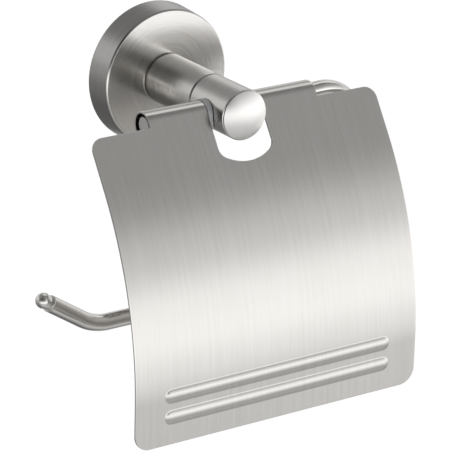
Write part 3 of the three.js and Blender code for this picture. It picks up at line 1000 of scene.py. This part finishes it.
@dataclass
class Post:
    """Neck, head and cap, held by one bolt from inside the base.

    Attributes:
        foot_radius: Radius of the neck's narrower foot.
        foot_length: Length of that foot.
        front_radius: Radius of the neck at the seam.
        spigot_radius: Radius of the neck's spigot in the head.
        spigot_length: Length of that spigot.
        bore: Radius of the hole for the bolt.
        seam_chamfer: Chamfer on both sides of the seam.
        gap: Clearance between two pieces.
        cap_spigot_radius: Radius of the cap's spigot.
        cap_spigot_length: Length of that spigot.
        cap_edge: Straight edge below the cap's dome.
        wire_hole: Radius of the cross hole for the wire.
        web: Metal between the bolt's hole and the wire's hole.
        grub_hole: Radius of the hole for the grub screw.
        bolt_radius: Radius of the bolt.
        bolt_head_length: Length of its head.
        bolt_socket: Corner radius of its hexagon socket.
    """

    foot_radius: float = 9.0 * MM
    foot_length: float = 0.5 * MM
    front_radius: float = 9.82 * MM
    spigot_radius: float = 6.0 * MM
    spigot_length: float = 2.0 * MM
    bore: float = 2.8 * MM
    seam_chamfer: float = 0.35 * MM
    gap: float = 0.3 * MM
    cap_spigot_radius: float = 6.5 * MM
    cap_spigot_length: float = 2.6 * MM
    cap_edge: float = 0.2 * MM
    wire_hole: float = 3.5 * MM
    web: float = 1.0 * MM
    grub_hole: float = 2.3 * MM
    bolt_radius: float = 2.5 * MM
    bolt_head_length: float = 3.4 * MM
    bolt_socket: float = 2.1 * MM

    def neck(self, material: bpy.types.Material) -> None:
        """Makes the bar between the base and the head."""
        low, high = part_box("post_neck")
        start, tip = -high.y, -low.y
        shoulder, end = start + self.foot_length, tip - self.spigot_length
        chamfer, soft = self.seam_chamfer, 0.1 * MM
        outline = (
            Corner(self.bore, start), Corner(self.foot_radius, start), Corner(self.foot_radius, shoulder),
            Corner(high.x - chamfer, shoulder, soft), Corner(high.x, shoulder + chamfer, soft),
            Corner(self.front_radius, end - chamfer, soft), Corner(self.front_radius - chamfer, end, soft),
            Corner(self.spigot_radius, end), Corner(self.spigot_radius, tip), Corner(self.bore, tip))
        neck = turned("neck_bar", outline, post_axis())
        smooth(neck)
        hand_over(neck, material, "post_neck", Slot.BRUSHED)

    def head(self, material: bpy.types.Material) -> None:
        """Makes the round head with its cross hole."""
        low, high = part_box("post_head")
        radius, start, end = high.x, -high.y, -low.y
        chamfer, soft = self.seam_chamfer, 0.1 * MM
        blind = -HINGE.y - self.wire_hole - self.web
        seat = end - self.cap_spigot_length - self.gap
        socket, cup = self.spigot_radius + self.gap, self.cap_spigot_radius + self.gap
        front = end + self.gap / 2 - chamfer
        step = start + self.spigot_length + self.gap
        outline = (
            Corner(socket, start), Corner(radius - chamfer, start, soft),
            Corner(radius, start + chamfer, soft), Corner(radius, front, soft),
            Corner(radius - chamfer, end, soft), Corner(cup, end), Corner(cup, seat), Corner(0, seat),
            Corner(0, blind), Corner(self.bore, blind), Corner(self.bore, step), Corner(socket, step))
        head = turned("head_bar", outline, post_axis())
        cross = bar("cross", self.wire_hole, -radius - MM, radius + MM, hinge_axis())
        grub = bar("grub", self.grub_hole, -radius - MM, HINGE.z, upright_axis(-HINGE.y))
        cut(head, [cross, grub])
        smooth(head)
        hand_over(head, material, "post_head", Slot.BRUSHED)

    def cap(self, material: bpy.types.Material) -> None:
        """Makes the domed disc that closes the head."""
        low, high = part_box("head_cap")
        back, top, radius = -high.y + self.cap_spigot_length, -low.y, high.x
        edge = back + self.cap_edge
        dome = top - edge
        sphere = (radius ** 2 + dome ** 2) / (2 * dome)
        spread = math.asin(radius / sphere)
        angles = [spread * (1 - k / DOME_STEPS) for k in range(1, DOME_STEPS)]
        curve = [(sphere * math.sin(a), top - sphere * (1 - math.cos(a))) for a in angles]
        outline = (
            Corner(0, -high.y), Corner(self.cap_spigot_radius, -high.y), Corner(self.cap_spigot_radius, back),
            Corner(radius - 0.04 * MM, back), Corner(radius, back + 0.04 * MM), Corner(radius, edge))
        cap = turned("cap_disc", outline, post_axis(), TURNED_SEGMENTS, [*curve, (0.0, top)])
        smooth(cap)
        hand_over(cap, material, "head_cap", Slot.BRUSHED)

    def bolt(self, finishes: Finishes, thread: Thread) -> None:
        """Makes the bolt and the washer under its head."""
        low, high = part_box("post_bolt")
        length, head = high.y - low.y, self.bolt_head_length
        threaded, chamfer = 14 * MM, 0.5 * MM
        start = length - threaded
        rings = 10 * round(threaded / (thread.pitch * 1.6))
        steps = [(self.bolt_radius, start + (threaded - chamfer) * k / rings) for k in range(rings + 1)]
        corners = (
            Corner(0, 0), Corner(high.x - chamfer, 0, 0.1 * MM), Corner(high.x, chamfer, 0.1 * MM),
            Corner(high.x, head, 0.2 * MM), Corner(self.bolt_radius, head, 0.2 * MM))
        ends = ((self.bolt_radius - chamfer, length), (0.0, length))
        bolt = turned("long_bolt", corners, Matrix.Identity(4), SMALL_SEGMENTS, [*steps, *ends])
        coarse = Thread(pitch=0.8 * MM, depth=0.35 * MM)
        coarse.press(bolt, self.bolt_radius, start, length - chamfer, finishes.dark)
        cut(bolt, [bar("socket", self.bolt_socket, -MM, head / 2, Matrix.Identity(4), HEXAGON)])
        bolt.data.transform(post_axis() @ Matrix.Translation((0, 0, -high.y)))
        smooth(bolt)
        hand_over(bolt, finishes.dark, "post_bolt", Slot.DARK)
        low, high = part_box("post_bolt_washer")
        soft = 0.15 * MM
        outline = (
            Corner(self.bore, -high.y, soft), Corner(high.x, -high.y, soft),
            Corner(high.x, -low.y, soft), Corner(self.bore, -low.y, soft))
        washer = turned("bolt_ring", outline, post_axis(), SMALL_SEGMENTS)
        smooth(washer)
        hand_over(washer, finishes.zinc, "post_bolt_washer", Slot.ZINC)

    def build(self, finishes: Finishes, thread: Thread) -> None:
        """Makes the post."""
        self.bolt(finishes, thread)
        self.neck(finishes.turned)
        self.head(finishes.turned)
        self.cap(finishes.cap)
        GrubScrew().build("head_grub", "head_grub_screw", thread, finishes.dark)


# ---------------------------------------------------------------- wire


@dataclass
class RollArm:
    """One bent wire, which is the hinge rod at the top and holds the roll at the bottom.

    Attributes:
        radius: Radius of the wire.
        leg: Distance of the upright leg's centre from the middle.
        corner: Radius of the two bends on the right.
        drop: Height from the hinge line to the roll run.
        rod_start: Where the rod starts on the left.
        rise_start: Where the rod starts to rise to its bend.
        rise: Slope of that stretch.
        tip_corner: Where the roll run's line meets the tip's.
        tip_bend: Angle of the raised tip.
        tip_bend_radius: Radius of that bend.
        tip_length: Length from that corner to the wire's end.
        chamfer: Chamfer at the wire's end.
        bore: Radius of the hole for the button's spigot.
        bore_depth: Depth of that hole.
        button_radius: Radius of the end button.
        button_body: Length of its straight part.
        button_gap: Distance between the wire's end and the button.
        button_shoulder: Width of the slope from the gap to the straight part.
        spigot: Radius of the button's spigot.
        spigot_length: Length of that spigot.
    """

    radius: float = 3.2 * MM
    leg: float = 60.1 * MM
    corner: float = 17.3 * MM
    drop: float = 73.8 * MM
    rod_start: float = -36.57 * MM
    rise_start: float = 22.87 * MM
    rise: float = math.radians(3.4)
    tip_corner: float = -57.7 * MM
    tip_bend: float = math.radians(33)
    tip_bend_radius: float = 20.0 * MM
    tip_length: float = 22.9 * MM
    chamfer: float = 0.6 * MM
    bore: float = 1.7 * MM
    bore_depth: float = 5.3 * MM
    button_radius: float = 3.0 * MM
    button_body: float = 2.5 * MM
    button_gap: float = 0.3 * MM
    button_shoulder: float = 0.7 * MM
    spigot: float = 1.4 * MM
    spigot_length: float = 5.0 * MM

    def arc(self, x: float, z: float, radius: float, start: float, end: float) -> list[Vector]:
        """Points of an arc in the wire's upright plane, about two degrees apart."""
        steps = max(4, round(abs(end - start) / math.radians(2)))
        angles = (start + (end - start) * k / steps for k in range(steps + 1))
        return [Vector((x + radius * math.cos(a), HINGE.y, z + radius * math.sin(a))) for a in angles]

    def tip(self) -> tuple[Vector, Vector]:
        """The wire's end and the direction that it points in."""
        direction = Vector((-math.cos(self.tip_bend), 0, math.sin(self.tip_bend)))
        corner = Vector((self.tip_corner, HINGE.y, HINGE.z - self.drop))
        return corner + direction * self.tip_length, direction

    def path(self) -> list[Vector]:
        """The wire's centre line, from the rod's free end to the tip."""
        quarter = math.pi / 2
        inner, roll = self.leg - self.corner, HINGE.z - self.drop
        shoulder = inner - self.corner * math.sin(self.rise)
        height = HINGE.z + (shoulder - self.rise_start) * math.tan(self.rise)
        upper = height - self.corner * math.cos(self.rise)
        bend = self.tip_corner + self.tip_bend_radius * math.tan(self.tip_bend / 2)
        path = [Vector((self.rod_start, HINGE.y, HINGE.z)), Vector((self.rise_start, HINGE.y, HINGE.z))]
        path += self.arc(inner, upper, self.corner, quarter + self.rise, 0)
        path += self.arc(inner, roll + self.corner, self.corner, 0, -quarter)
        radius = self.tip_bend_radius
        path += self.arc(bend, roll + radius, radius, -quarter, -quarter - self.tip_bend)
        return [*path, self.tip()[0]]

    def sweep(self) -> Recipe:
        """The Geometry Nodes tree that carries a round section along a path."""
        recipe = Recipe("swept_wire", ("Radius",), ("Sides",))
        spine = recipe.add("GeometryNodeMeshToCurve", values={"Mesh": recipe.given("Geometry")})
        curve = recipe.out(spine, "Curve")
        named = recipe.add("GeometryNodeInputNamedAttribute", {"data_type": "FLOAT"}, {"Name": "swell"})
        swell = recipe.out(named, "Attribute")
        sized = recipe.add("GeometryNodeSetCurveRadius", values={"Curve": curve, "Radius": swell})
        run = recipe.out(recipe.add("GeometryNodeSplineParameter"), "Length")
        marked = recipe.capture(recipe.out(sized, "Curve"), "FLOAT", "run", run)
        circle = recipe.add(
            "GeometryNodeCurvePrimitiveCircle", {"mode": "RADIUS"},
            {"Resolution": recipe.given("Sides"), "Radius": recipe.given("Radius")})
        around = recipe.out(recipe.add("GeometryNodeInputPosition"), "Position")
        unit = recipe.add("ShaderNodeVectorMath", {"operation": "NORMALIZE"}, {"Vector": around})
        outward = recipe.out(unit, "Vector")
        section = recipe.capture(recipe.out(circle, "Curve"), "FLOAT_VECTOR", "section", outward)
        ends = {"Curve": marked, "Profile Curve": section, "Fill Caps": True}
        tube = recipe.add("GeometryNodeCurveToMesh", values=ends)
        recipe.close(recipe.out(tube, "Mesh"))
        return recipe

    def wire(self, material: bpy.types.Material) -> None:
        """Makes the bent wire, its rod end softened and its tip chamfered and bored."""
        path = self.path()
        start, end = (path[1] - path[0]).normalized(), (path[-2] - path[-1]).normalized()
        soft = 0.35 * MM
        head = [(path[0] + start * soft * (1 - math.cos(a)), 1 - soft / self.radius * (1 - math.sin(a)))
                for a in (math.radians(15 * k) for k in range(7))]
        tail = [(path[-1] + end * (self.chamfer + 0.1 * MM), 1.0), (path[-1] + end * self.chamfer, 1.0),
                (path[-1], 1 - self.chamfer / self.radius)]
        points = [*head, (path[0] + start * 2 * soft, 1.0), *((place, 1.0) for place in path[1:-1]), *tail]
        mesh = bpy.data.meshes.new("bent_wire")
        mesh.from_pydata([place for place, _ in points], [(i, i + 1) for i in range(len(points) - 1)], [])
        swell = mesh.attributes.new("swell", "FLOAT", "POINT")
        swell.data.foreach_set("value", [size for _, size in points])
        wire = bpy.data.objects.new("bent_wire", mesh)
        bpy.context.scene.collection.objects.link(wire)
        self.sweep().bake(wire, {"Radius": self.radius, "Sides": 64, "Material": material})
        place, direction = self.tip()
        bore = bar("bore", self.bore, -self.bore_depth, self.bore_depth, self.aim(place, direction), 48)
        smooth(wire)
        cut(wire, [bore])
        smooth(wire)
        hand_over(wire, material, "holder_arm", Slot.WIRE)

    @staticmethod
    def aim(place: Vector, direction: Vector) -> Matrix:
        """Local Z to a direction, at a place."""
        return Matrix.Translation(place) @ direction.to_track_quat("Z", "Y").to_matrix().to_4x4()

    def button(self, material: bpy.types.Material) -> None:
        """Makes the rounded button in the wire's tip."""
        place, direction = self.tip()
        gap, shoulder, body = self.button_gap, self.button_shoulder, self.button_body
        radius = self.button_radius
        angles = [math.radians(90 * k / 20) for k in range(20)]
        ball = [(radius * math.cos(a), gap + body + radius * math.sin(a)) for a in angles]
        outline = (
            Corner(0, -self.spigot_length), Corner(self.spigot, -self.spigot_length),
            Corner(self.spigot, gap), Corner(radius - shoulder, gap, 0.08 * MM),
            Corner(radius, gap + shoulder, 0.2 * MM))
        steps = [*ball, (0.0, gap + body + radius)]
        button = turned("end_button", outline, self.aim(place, direction), SMALL_SEGMENTS, steps)
        smooth(button)
        hand_over(button, material, "arm_end_button", Slot.WIRE)

    def build(self, finishes: Finishes) -> None:
        """Makes the arm."""
        self.wire(finishes.wire)
        self.button(finishes.button)


# ---------------------------------------------------------------- bushes


@dataclass
class Bushes:
    """The two flanged nylon bushes between the head and the barrels.

    Attributes:
        bore: Radius of the hole for the wire.
        sleeve: Radius of the sleeve inside a barrel.
        flange_end: Where the flange ends, from the middle.
        soft: Rounding of the flange's edge.
        head_room: Clearance round the head.
    """

    bore: float = 3.5 * MM
    sleeve: float = 4.35 * MM
    flange_end: float = 11.57 * MM
    soft: float = 0.35 * MM
    head_room: float = 0.3 * MM

    def build(self, finishes: Finishes) -> None:
        """Makes both bushes."""
        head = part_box("post_head")
        for side, node, name in ((-1, "bush_left", "left_bush"), (1, "bush_right", "right_bush")):
            low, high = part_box(node)
            flange = high.z - HINGE.z
            end = max(abs(low.x), abs(high.x))
            outline = (
                Corner(self.bore, 0), Corner(flange, 0), Corner(flange, self.flange_end, self.soft),
                Corner(self.sleeve, self.flange_end, 0.1 * MM), Corner(self.sleeve, end, 0.3 * MM),
                Corner(self.bore, end, 0.1 * MM))
            bush = turned(name, outline, hinge_axis(side), SMALL_SEGMENTS)
            room = bar("room", head[1].x + self.head_room, 30 * MM, 75 * MM, post_axis(), TURNED_SEGMENTS)
            cut(bush, [room])
            smooth(bush)
            hand_over(bush, finishes.nylon, node, Slot.NYLON)


# ---------------------------------------------------------------- cover


@dataclass
class Cover:
    """The curved sheet with two curled barrels, a notch for the head and two pressed ribs.

    It is drawn as a flat blank, x across and y up from the free edge, and then pressed and bent.

    Attributes:
        sheet: Thickness.
        length: From the free edge to where the curl starts.
        top_slope: Slope of the top, from upright.
        top_straight: Length of the straight top.
        bend_radius: Radius of the long bend.
        bend: Angle of that bend.
        barrel_radius: Outer radius of the curl.
        curl: Angle of the curl.
        barrel_start: Where a barrel starts, from the middle.
        barrel_length: Length of a barrel.
        shoulder_drop: From the curl's start to the shoulder's edge.
        shoulder_corner: Radius of the shoulder's corner.
        free_corner: Radius of the free edge's corners.
        notch_depth: Height from the post's axis to the notch's bottom.
        notch_radius: Radius of that bottom.
        notch_corner: Size of the notch's soft corners.
        rib_lift: Height of a rib.
        rib_width: Width of a rib.
        rib_length: Length of a rib.
        first_rib: From the free edge to the first rib's middle.
        rib_pitch: Distance between ribs.
        rib_count: How many ribs there are.
        rib_fold: Softness of the fold round a rib.
        edge: Rounding of the sheet's edges.
    """

    sheet: float = 0.8 * MM
    length: float = 120.6 * MM
    top_slope: float = math.radians(32.6)
    top_straight: float = 21.8 * MM
    bend_radius: float = 139.0 * MM
    bend: float = math.radians(33.4)
    barrel_radius: float = 5.45 * MM
    curl: float = math.radians(300)
    barrel_start: float = 11.87 * MM
    barrel_length: float = 25.4 * MM
    shoulder_drop: float = 2.4 * MM
    shoulder_corner: float = 5.0 * MM
    free_corner: float = 6.5 * MM
    notch_depth: float = 16.12 * MM
    notch_radius: float = 21.5 * MM
    notch_corner: float = 2.0 * MM
    rib_lift: float = 0.75 * MM
    rib_width: float = 5.4 * MM
    rib_length: float = 101.4 * MM
    first_rib: float = 10.9 * MM
    rib_pitch: float = 8.4 * MM
    rib_count: int = 2
    rib_fold: float = 0.12 * MM
    edge: float = 0.14 * MM

    def height_up(self, z: float) -> float:
        """Distance up the blank of a height on the straight top."""
        tangent = HINGE.z + self.barrel_radius * math.sin(self.top_slope)
        return self.length - (tangent - z) / math.cos(self.top_slope)

    def half_outline(self) -> list[Vector]:
        """The right half of the blank's outline, from the free edge to the notch's middle."""
        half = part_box("cover_flap")[1].x
        shoulder, top = self.length - self.shoulder_drop, self.length + self.barrel_radius * self.curl
        start, end = self.barrel_start, self.barrel_start + self.barrel_length

        def arc(x: float, y: float, radius: float, low: float, steps: int) -> list[Vector]:
            """A quarter turn about a centre, from that angle on."""
            angles = (math.radians(low + 90 * k / steps) for k in range(steps + 1))
            return [Vector((x + radius * math.cos(a), y + radius * math.sin(a))) for a in angles]

        corners = arc(half - self.free_corner, self.free_corner, self.free_corner, -90, 16)
        turn = self.shoulder_corner
        corners += arc(half - turn, shoulder - turn, turn, 0, 14)
        corners += [Vector((end, shoulder)), Vector((end, top)), Vector((start, top))]
        rise = self.notch_radius - math.sqrt(self.notch_radius ** 2 - start ** 2)
        corner_z = -self.notch_depth + rise
        spread = math.asin((start - self.notch_corner) / self.notch_radius)
        centre_z = -self.notch_depth + self.notch_radius
        meet = (self.notch_radius * math.sin(spread), centre_z - self.notch_radius * math.cos(spread))
        ends = (Vector((start, corner_z + self.notch_corner)), Vector((start, corner_z)), Vector(meet))
        for k in range(9):
            t = k / 8
            bent = ends[0] * (1 - t) ** 2 + ends[1] * (2 * t * (1 - t)) + ends[2] * t * t
            corners.append(Vector((bent.x, self.height_up(bent.y))))
        for k in range(1, 13):
            angle = spread * (1 - k / 12)
            z = centre_z - self.notch_radius * math.cos(angle)
            corners.append(Vector((self.notch_radius * math.sin(angle), self.height_up(z))))
        return [Vector((0, 0)), *corners]

    def outline(self) -> list[Vector]:
        """The whole outline, anticlockwise, with its long stretches divided."""
        right = self.half_outline()
        corners = [*right, *(Vector((-p.x, p.y)) for p in reversed(right[1:-1]))]
        longest = 1.5 * MM
        points = []
        for here, ahead in zip(corners, [*corners[1:], corners[0]]):
            steps = max(1, math.ceil((ahead - here).length / longest))
            points += [here.lerp(ahead, k / steps) for k in range(steps)]
        return points

    @staticmethod
    def drawn_in(points: Sequence[Vector], distance: float) -> list[Vector]:
        """The outline moved in by a small distance."""
        moved = []
        for i, here in enumerate(points):
            back = (here - points[i - 1]).normalized()
            ahead = (points[(i + 1) % len(points)] - here).normalized()
            inward = Vector((-back.y - ahead.y, back.x + ahead.x)).normalized()
            moved.append(here + inward * (distance / max(0.3, inward.dot(Vector((-back.y, back.x))))))
        return moved

    def levels(self) -> list[float]:
        """Heights up the blank at which it gets a row of points: close on the ribs and the curl."""
        rows, y = [], 0.7 * MM
        ribs_end = self.first_rib + self.rib_pitch * (self.rib_count - 1) + 0.7 * self.rib_width
        while y < self.length + self.barrel_radius * self.curl - 0.3 * MM:
            rows.append(y)
            if self.first_rib - 0.7 * self.rib_width < y < ribs_end:
                y += 0.22 * MM
            elif y > self.length - MM:
                y += self.barrel_radius * math.radians(5)
            else:
                y += 1.4 * MM
        return rows

    def stations(self) -> list[float]:
        """Places across the blank at which it gets a column of points: close at the ribs' ends."""
        half = self.rib_length / 2
        places, x = [], 0.0
        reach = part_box("cover_flap")[1].x - 0.5 * MM
        while x < reach:
            places.append(x)
            x += 0.25 * MM if half - self.rib_width < x < half + 0.2 * self.rib_width else 1.5 * MM
        return [*(-x for x in reversed(places[1:])), *places]

    def blank(self) -> bpy.types.Object:
        """The flat blank, closed and with rounded edges; each point stores how far in it is."""
        outline = self.outline()
        inner = self.drawn_in(outline, self.edge + 0.1 * MM)
        count = len(inner)
        clear = 0.35 * MM
        columns = self.stations()
        grid = [Vector((x, y)) for y in self.levels() for x in columns]
        grid = [point for point in grid if self.depth_inside(point, outline, clear)]
        rim = [(i, (i + 1) % count) for i in range(count)]
        flat, _, faces, *_ = delaunay_2d_cdt([*inner, *grid], rim, [list(range(count))], 1, 1e-9)
        draft = Draft()
        top = draft.row((p.x, p.y, 0) for p in flat)
        bottom = draft.row((p.x, p.y, -self.sheet) for p in flat)
        draft.faces += [tuple(top[i] for i in face) for face in faces]
        draft.faces += [tuple(bottom[i] for i in reversed(face)) for face in faces]
        quarter = [math.radians(90 * k / 3) for k in range(4)]
        side = [(self.edge * (1 - math.sin(a)), -self.edge * (1 - math.cos(a))) for a in quarter]
        side += [(inset, -self.sheet - level) for inset, level in reversed(side)]
        rows = [top[:count]]
        for inset, level in side:
            rows.append(draft.row((p.x, p.y, level) for p in self.drawn_in(outline, inset)))
        rows.append(bottom[:count])
        for first, second in zip(rows, rows[1:]):
            draft.bridge(second, first)
        blank = draft.build("cover_sheet")
        away = blank.data.attributes.new("rim", "FLOAT", "POINT")
        face = [self.edge] * count + [MM] * (len(flat) - count)
        rest = [0.0] * (len(draft.points) - 2 * len(flat))
        away.data.foreach_set("value", [*face, *face, *rest])
        return blank

    @staticmethod
    def depth_inside(point: Vector, outline: Sequence[Vector], clear: float) -> bool:
        """True where a point is inside an outline and clear of it."""
        inside = False
        for here, ahead in zip(outline, [*outline[1:], outline[0]]):
            if (here.y > point.y) != (ahead.y > point.y):
                if point.x < here.x + (ahead.x - here.x) * (point.y - here.y) / (ahead.y - here.y):
                    inside = not inside
            if abs(here.x - point.x) < 3 * clear + 1.5 * MM and abs(here.y - point.y) < 3 * clear + 1.5 * MM:
                side = ahead - here
                share = min(1.0, max(0.0, (point - here).dot(side) / side.length_squared))
                if (point - here - side * share).length < clear:
                    return False
        return inside

    def press_and_bend(self) -> Recipe:
        """The Geometry Nodes tree that presses the ribs into the blank and bends it."""
        recipe = Recipe(
            "pressed_and_bent_cover",
            ("Length", "Top slope", "Top straight", "Bend radius", "Bend", "Barrel radius", "Hinge y",
             "Hinge z", "Rib lift", "Rib width", "Rib length", "First rib", "Rib pitch"),
            ("Rib count",))
        given, math_of = recipe.given, recipe.math
        x, y, level = recipe.split(recipe.out(recipe.add("GeometryNodeInputPosition"), "Position"))
        number = math_of("ROUND", (y - given("First rib")) / given("Rib pitch"))
        number = number.at_least(0.0).at_most(given("Rib count") - 1.0)
        aside = y - given("First rib") - number * given("Rib pitch")
        half_width = given("Rib width") / 2.0
        rib_radius = (half_width * half_width / given("Rib lift") + given("Rib lift")) / 2.0
        beyond = (x.size() - (given("Rib length") / 2.0 - half_width)).at_least(0.0)
        reach_squared = aside * aside + beyond * beyond
        shrunk = rib_radius + level
        crown = (shrunk * shrunk - reach_squared).at_least(0.0) ** 0.5
        crown = crown - rib_radius + given("Rib lift") - level
        raised = level + math_of("SMOOTH_MAX", crown, 0.0, self.rib_fold)

        down = given("Length") - y
        first_turn = math.pi - given("Top slope")
        curled = down.at_most(0.0) / given("Barrel radius")
        bent = ((down - given("Top straight")) / given("Bend radius")).at_least(0.0).at_most(given("Bend"))
        straight = down.at_least(0.0).at_most(given("Top straight"))
        last = (down - given("Top straight") - given("Bend radius") * given("Bend")).at_least(0.0)
        top, low = first_turn + curled, first_turn + bent
        end = first_turn + given("Bend")
        angles = (top, first_turn, low, end, top + bent)
        c_top, c_first, c_low, c_end, c_facing = (math_of("COSINE", angle) for angle in angles)
        s_top, s_first, s_low, s_end, s_facing = (math_of("SINE", angle) for angle in angles)
        curl, bow = given("Barrel radius"), given("Bend radius")
        out_y = given("Hinge y") + curl * c_top - straight * s_first + bow * (c_low - c_first)
        out_y = out_y - last * s_end + raised * c_facing
        out_z = given("Hinge z") + curl * s_top + straight * c_first + bow * (s_low - s_first)
        out_z = out_z + last * c_end + raised * s_facing
        moved = recipe.add(
            "GeometryNodeSetPosition",
            values={"Geometry": given("Geometry"), "Position": recipe.join(x, out_y, out_z)})
        recipe.close(recipe.out(moved, "Geometry"))
        return recipe

    def build(self, finishes: Finishes) -> None:
        """Makes the cover."""
        cover = self.blank()
        self.press_and_bend().bake(cover, {
            "Length": self.length, "Top slope": self.top_slope, "Top straight": self.top_straight,
            "Bend radius": self.bend_radius, "Bend": self.bend, "Barrel radius": self.barrel_radius,
            "Hinge y": HINGE.y, "Hinge z": HINGE.z, "Rib lift": self.rib_lift,
            "Rib width": self.rib_width, "Rib length": self.rib_length, "First rib": self.first_rib,
            "Rib pitch": self.rib_pitch, "Rib count": self.rib_count, "Material": finishes.sheet})
        smooth(cover)
        hand_over(cover, finishes.sheet, "cover_flap", Slot.BRUSHED, Body.COVER)


# ---------------------------------------------------------------- studio


@dataclass
class Studio:
    """A pale floor, soft light from all round and the camera.

    Attributes:
        floor_height: Height of the floor; the holder hangs on a wall above it.
        floor_half: Half the floor's side.
        floor_glow: How much light the floor gives off, as the camera sees it.
        azimuth: Direction of the camera round the upright axis.
        elevation: Height of the camera above the horizon.
        roll: Turn of the camera about its own axis.
        distance: From the camera to the origin, along its axis.
        aside: How far the origin is from the camera's axis, to the right and up.
        lens: Focal length for a 36 mm sensor, in millimetres.
        brightness: Strength of the brightest light.
    """

    floor_height: float = -0.70
    floor_half: float = 6.0
    floor_glow: float = 0.72
    azimuth: float = math.radians(-34.64)
    elevation: float = math.radians(20.33)
    roll: float = math.radians(1.17)
    distance: float = 1.20984
    aside: tuple[float, float] = (-0.0292, 0.05976)
    lens: float = 251.17
    brightness: float = 1.5

    def floor(self) -> None:
        """Makes the floor, which only the camera and soft light see."""
        draft = Draft()
        half = self.floor_half
        signs = ((-1, -1), (1, -1), (1, 1), (-1, 1))
        draft.faces.append(tuple(draft.row((x * half, y * half, self.floor_height) for x, y in signs)))
        floor = draft.build("studio_floor")
        material, paint, surface = new_material("floor_white")
        x, y, z = paint.place()
        grain = paint.noise(paint.join(x, y, z), 30.0, 2.0)
        pale = paint.mix(grain, self.grey(0.86), self.grey(0.88))
        paint.tree.links.new(pale.socket, surface.inputs["Base Color"])
        surface.inputs["Roughness"].default_value = 0.9
        surface.inputs["Emission Color"].default_value = (1.0, 1.0, 1.0, 1.0)
        surface.inputs["Emission Strength"].default_value = self.floor_glow
        floor.data.materials.append(material)
        floor.visible_glossy = False
        floor.visible_diffuse = False

    def light(self) -> None:
        """Makes the light of a plain studio, as seen from the holder.

        In front it is brightest just below the horizon and greyer above and below. On the left it
        is bright only low down. Behind it is grey, with something paler low on the right. A grey
        panel hangs overhead on the right.
        """
        world = bpy.data.worlds.new("soft_studio")
        world.use_nodes = True
        world.node_tree.nodes.clear()
        paint = Paint(world.node_tree)
        x, y, z = paint.split(paint.out(paint.add("ShaderNodeTexCoord"), "Generated"))
        level = z * 0.5 + 0.5
        front = self.greys(paint, level, (
            (0.0, 0.34), (0.12, 0.36), (0.20, 0.34), (0.28, 0.48), (0.35, 0.76), (0.43, 0.93),
            (0.51, 0.88), (0.63, 0.52), (0.76, 0.27), (1.0, 0.12)))
        behind = self.greys(paint, level, (
            (0.0, 0.10), (0.20, 0.12), (0.33, 0.19), (0.50, 0.34), (0.60, 0.50), (0.70, 0.50),
            (0.80, 0.20), (1.0, 0.10)))
        high = z.step_up(-0.10, 0.16)
        facing_low = (x * 0.15 - y * 0.99).step_up(-0.25, 0.45)
        facing_high = (x * 0.60 - y * 0.80).step_up(0.05, 0.85)
        sky = paint.mix(facing_low * (1 - high) + facing_high * high, behind, front)
        left = (x * -0.80 - y * 0.60).step_up(0.35, 0.75) * z.step_up(-0.06, 0.20)
        deep = y.step_up(0.03, 0.14) * y.step_up(0.62, 0.30)
        panel = z.step_up(0.40, 0.60) * deep * x.step_up(-0.10, 0.30)
        table = z.step_up(-0.35, -0.60) * x.step_up(0.20, 0.45) * y.step_up(0.15, 0.40)
        sky = paint.mix(table, paint.shade(sky, 1 - left * 0.8), self.grey(0.42))
        sky = paint.mix(panel, sky, self.grey(0.62))
        seen = paint.out(paint.add("ShaderNodeLightPath"), "Is Camera Ray")
        shown = paint.mix(seen, sky, self.grey(1 / self.brightness))
        back = paint.add("ShaderNodeBackground", values={"Color": shown, "Strength": self.brightness})
        end = paint.add("ShaderNodeOutputWorld")
        paint.tree.links.new(back.outputs["Background"], end.inputs["Surface"])
        bpy.context.scene.world = world

    @staticmethod
    def grey(value: float) -> tuple[float, float, float]:
        """A neutral colour."""
        return value, value, value

    def greys(self, paint: Paint, place: Signal, stops: Sequence[tuple[float, float]]) -> Signal:
        """A ramp of greys.

        Args:
            paint: The graph.
            place: Where on the ramp, between 0 and 1.
            stops: Pairs of place and brightness.

        Returns:
            The colour.
        """
        shades = [(at, self.grey(value)) for at, value in stops]
        return paint.out(paint.add("ShaderNodeValToRGB", {"stops": shades}, {"Fac": place}), "Color")

    def camera(self) -> None:
        """Makes the camera and sets it as the scene's."""
        az, el, roll = self.azimuth, self.elevation, self.roll
        right = Vector((math.cos(az), math.sin(az), 0))
        back = Vector((math.sin(az) * math.cos(el), -math.cos(az) * math.cos(el), math.sin(el)))
        up = back.cross(right)
        side = right * math.cos(roll) + up * math.sin(roll)
        top = up * math.cos(roll) - right * math.sin(roll)
        place = back * self.distance - side * self.aside[0] - top * self.aside[1]
        data = bpy.data.cameras.new("camera")
        data.lens = self.lens
        data.sensor_width = 36.0
        data.clip_start, data.clip_end = 0.05, 30.0
        camera = bpy.data.objects.new("camera", data)
        turn = Matrix((side, top, back)).transposed().to_4x4()
        camera.matrix_world = Matrix.Translation(place) @ turn
        bpy.context.scene.collection.objects.link(camera)
        bpy.context.scene.camera = camera

    def build(self) -> None:
        """Makes the studio."""
        self.floor()
        self.light()
        self.camera()
        bpy.context.scene.view_settings.view_transform = "Standard"


def main() -> None:
    """Builds the holder and the studio in order."""
    logging.basicConfig(level=logging.INFO)
    finishes = Finishes()
    thread = Thread()
    WallBase().build(finishes, thread)
    Post().build(finishes, thread)
    RollArm().build(finishes)
    Bushes().build(finishes)
    Cover().build(finishes)
    Studio().build()


if __name__ == "__main__":
    main()
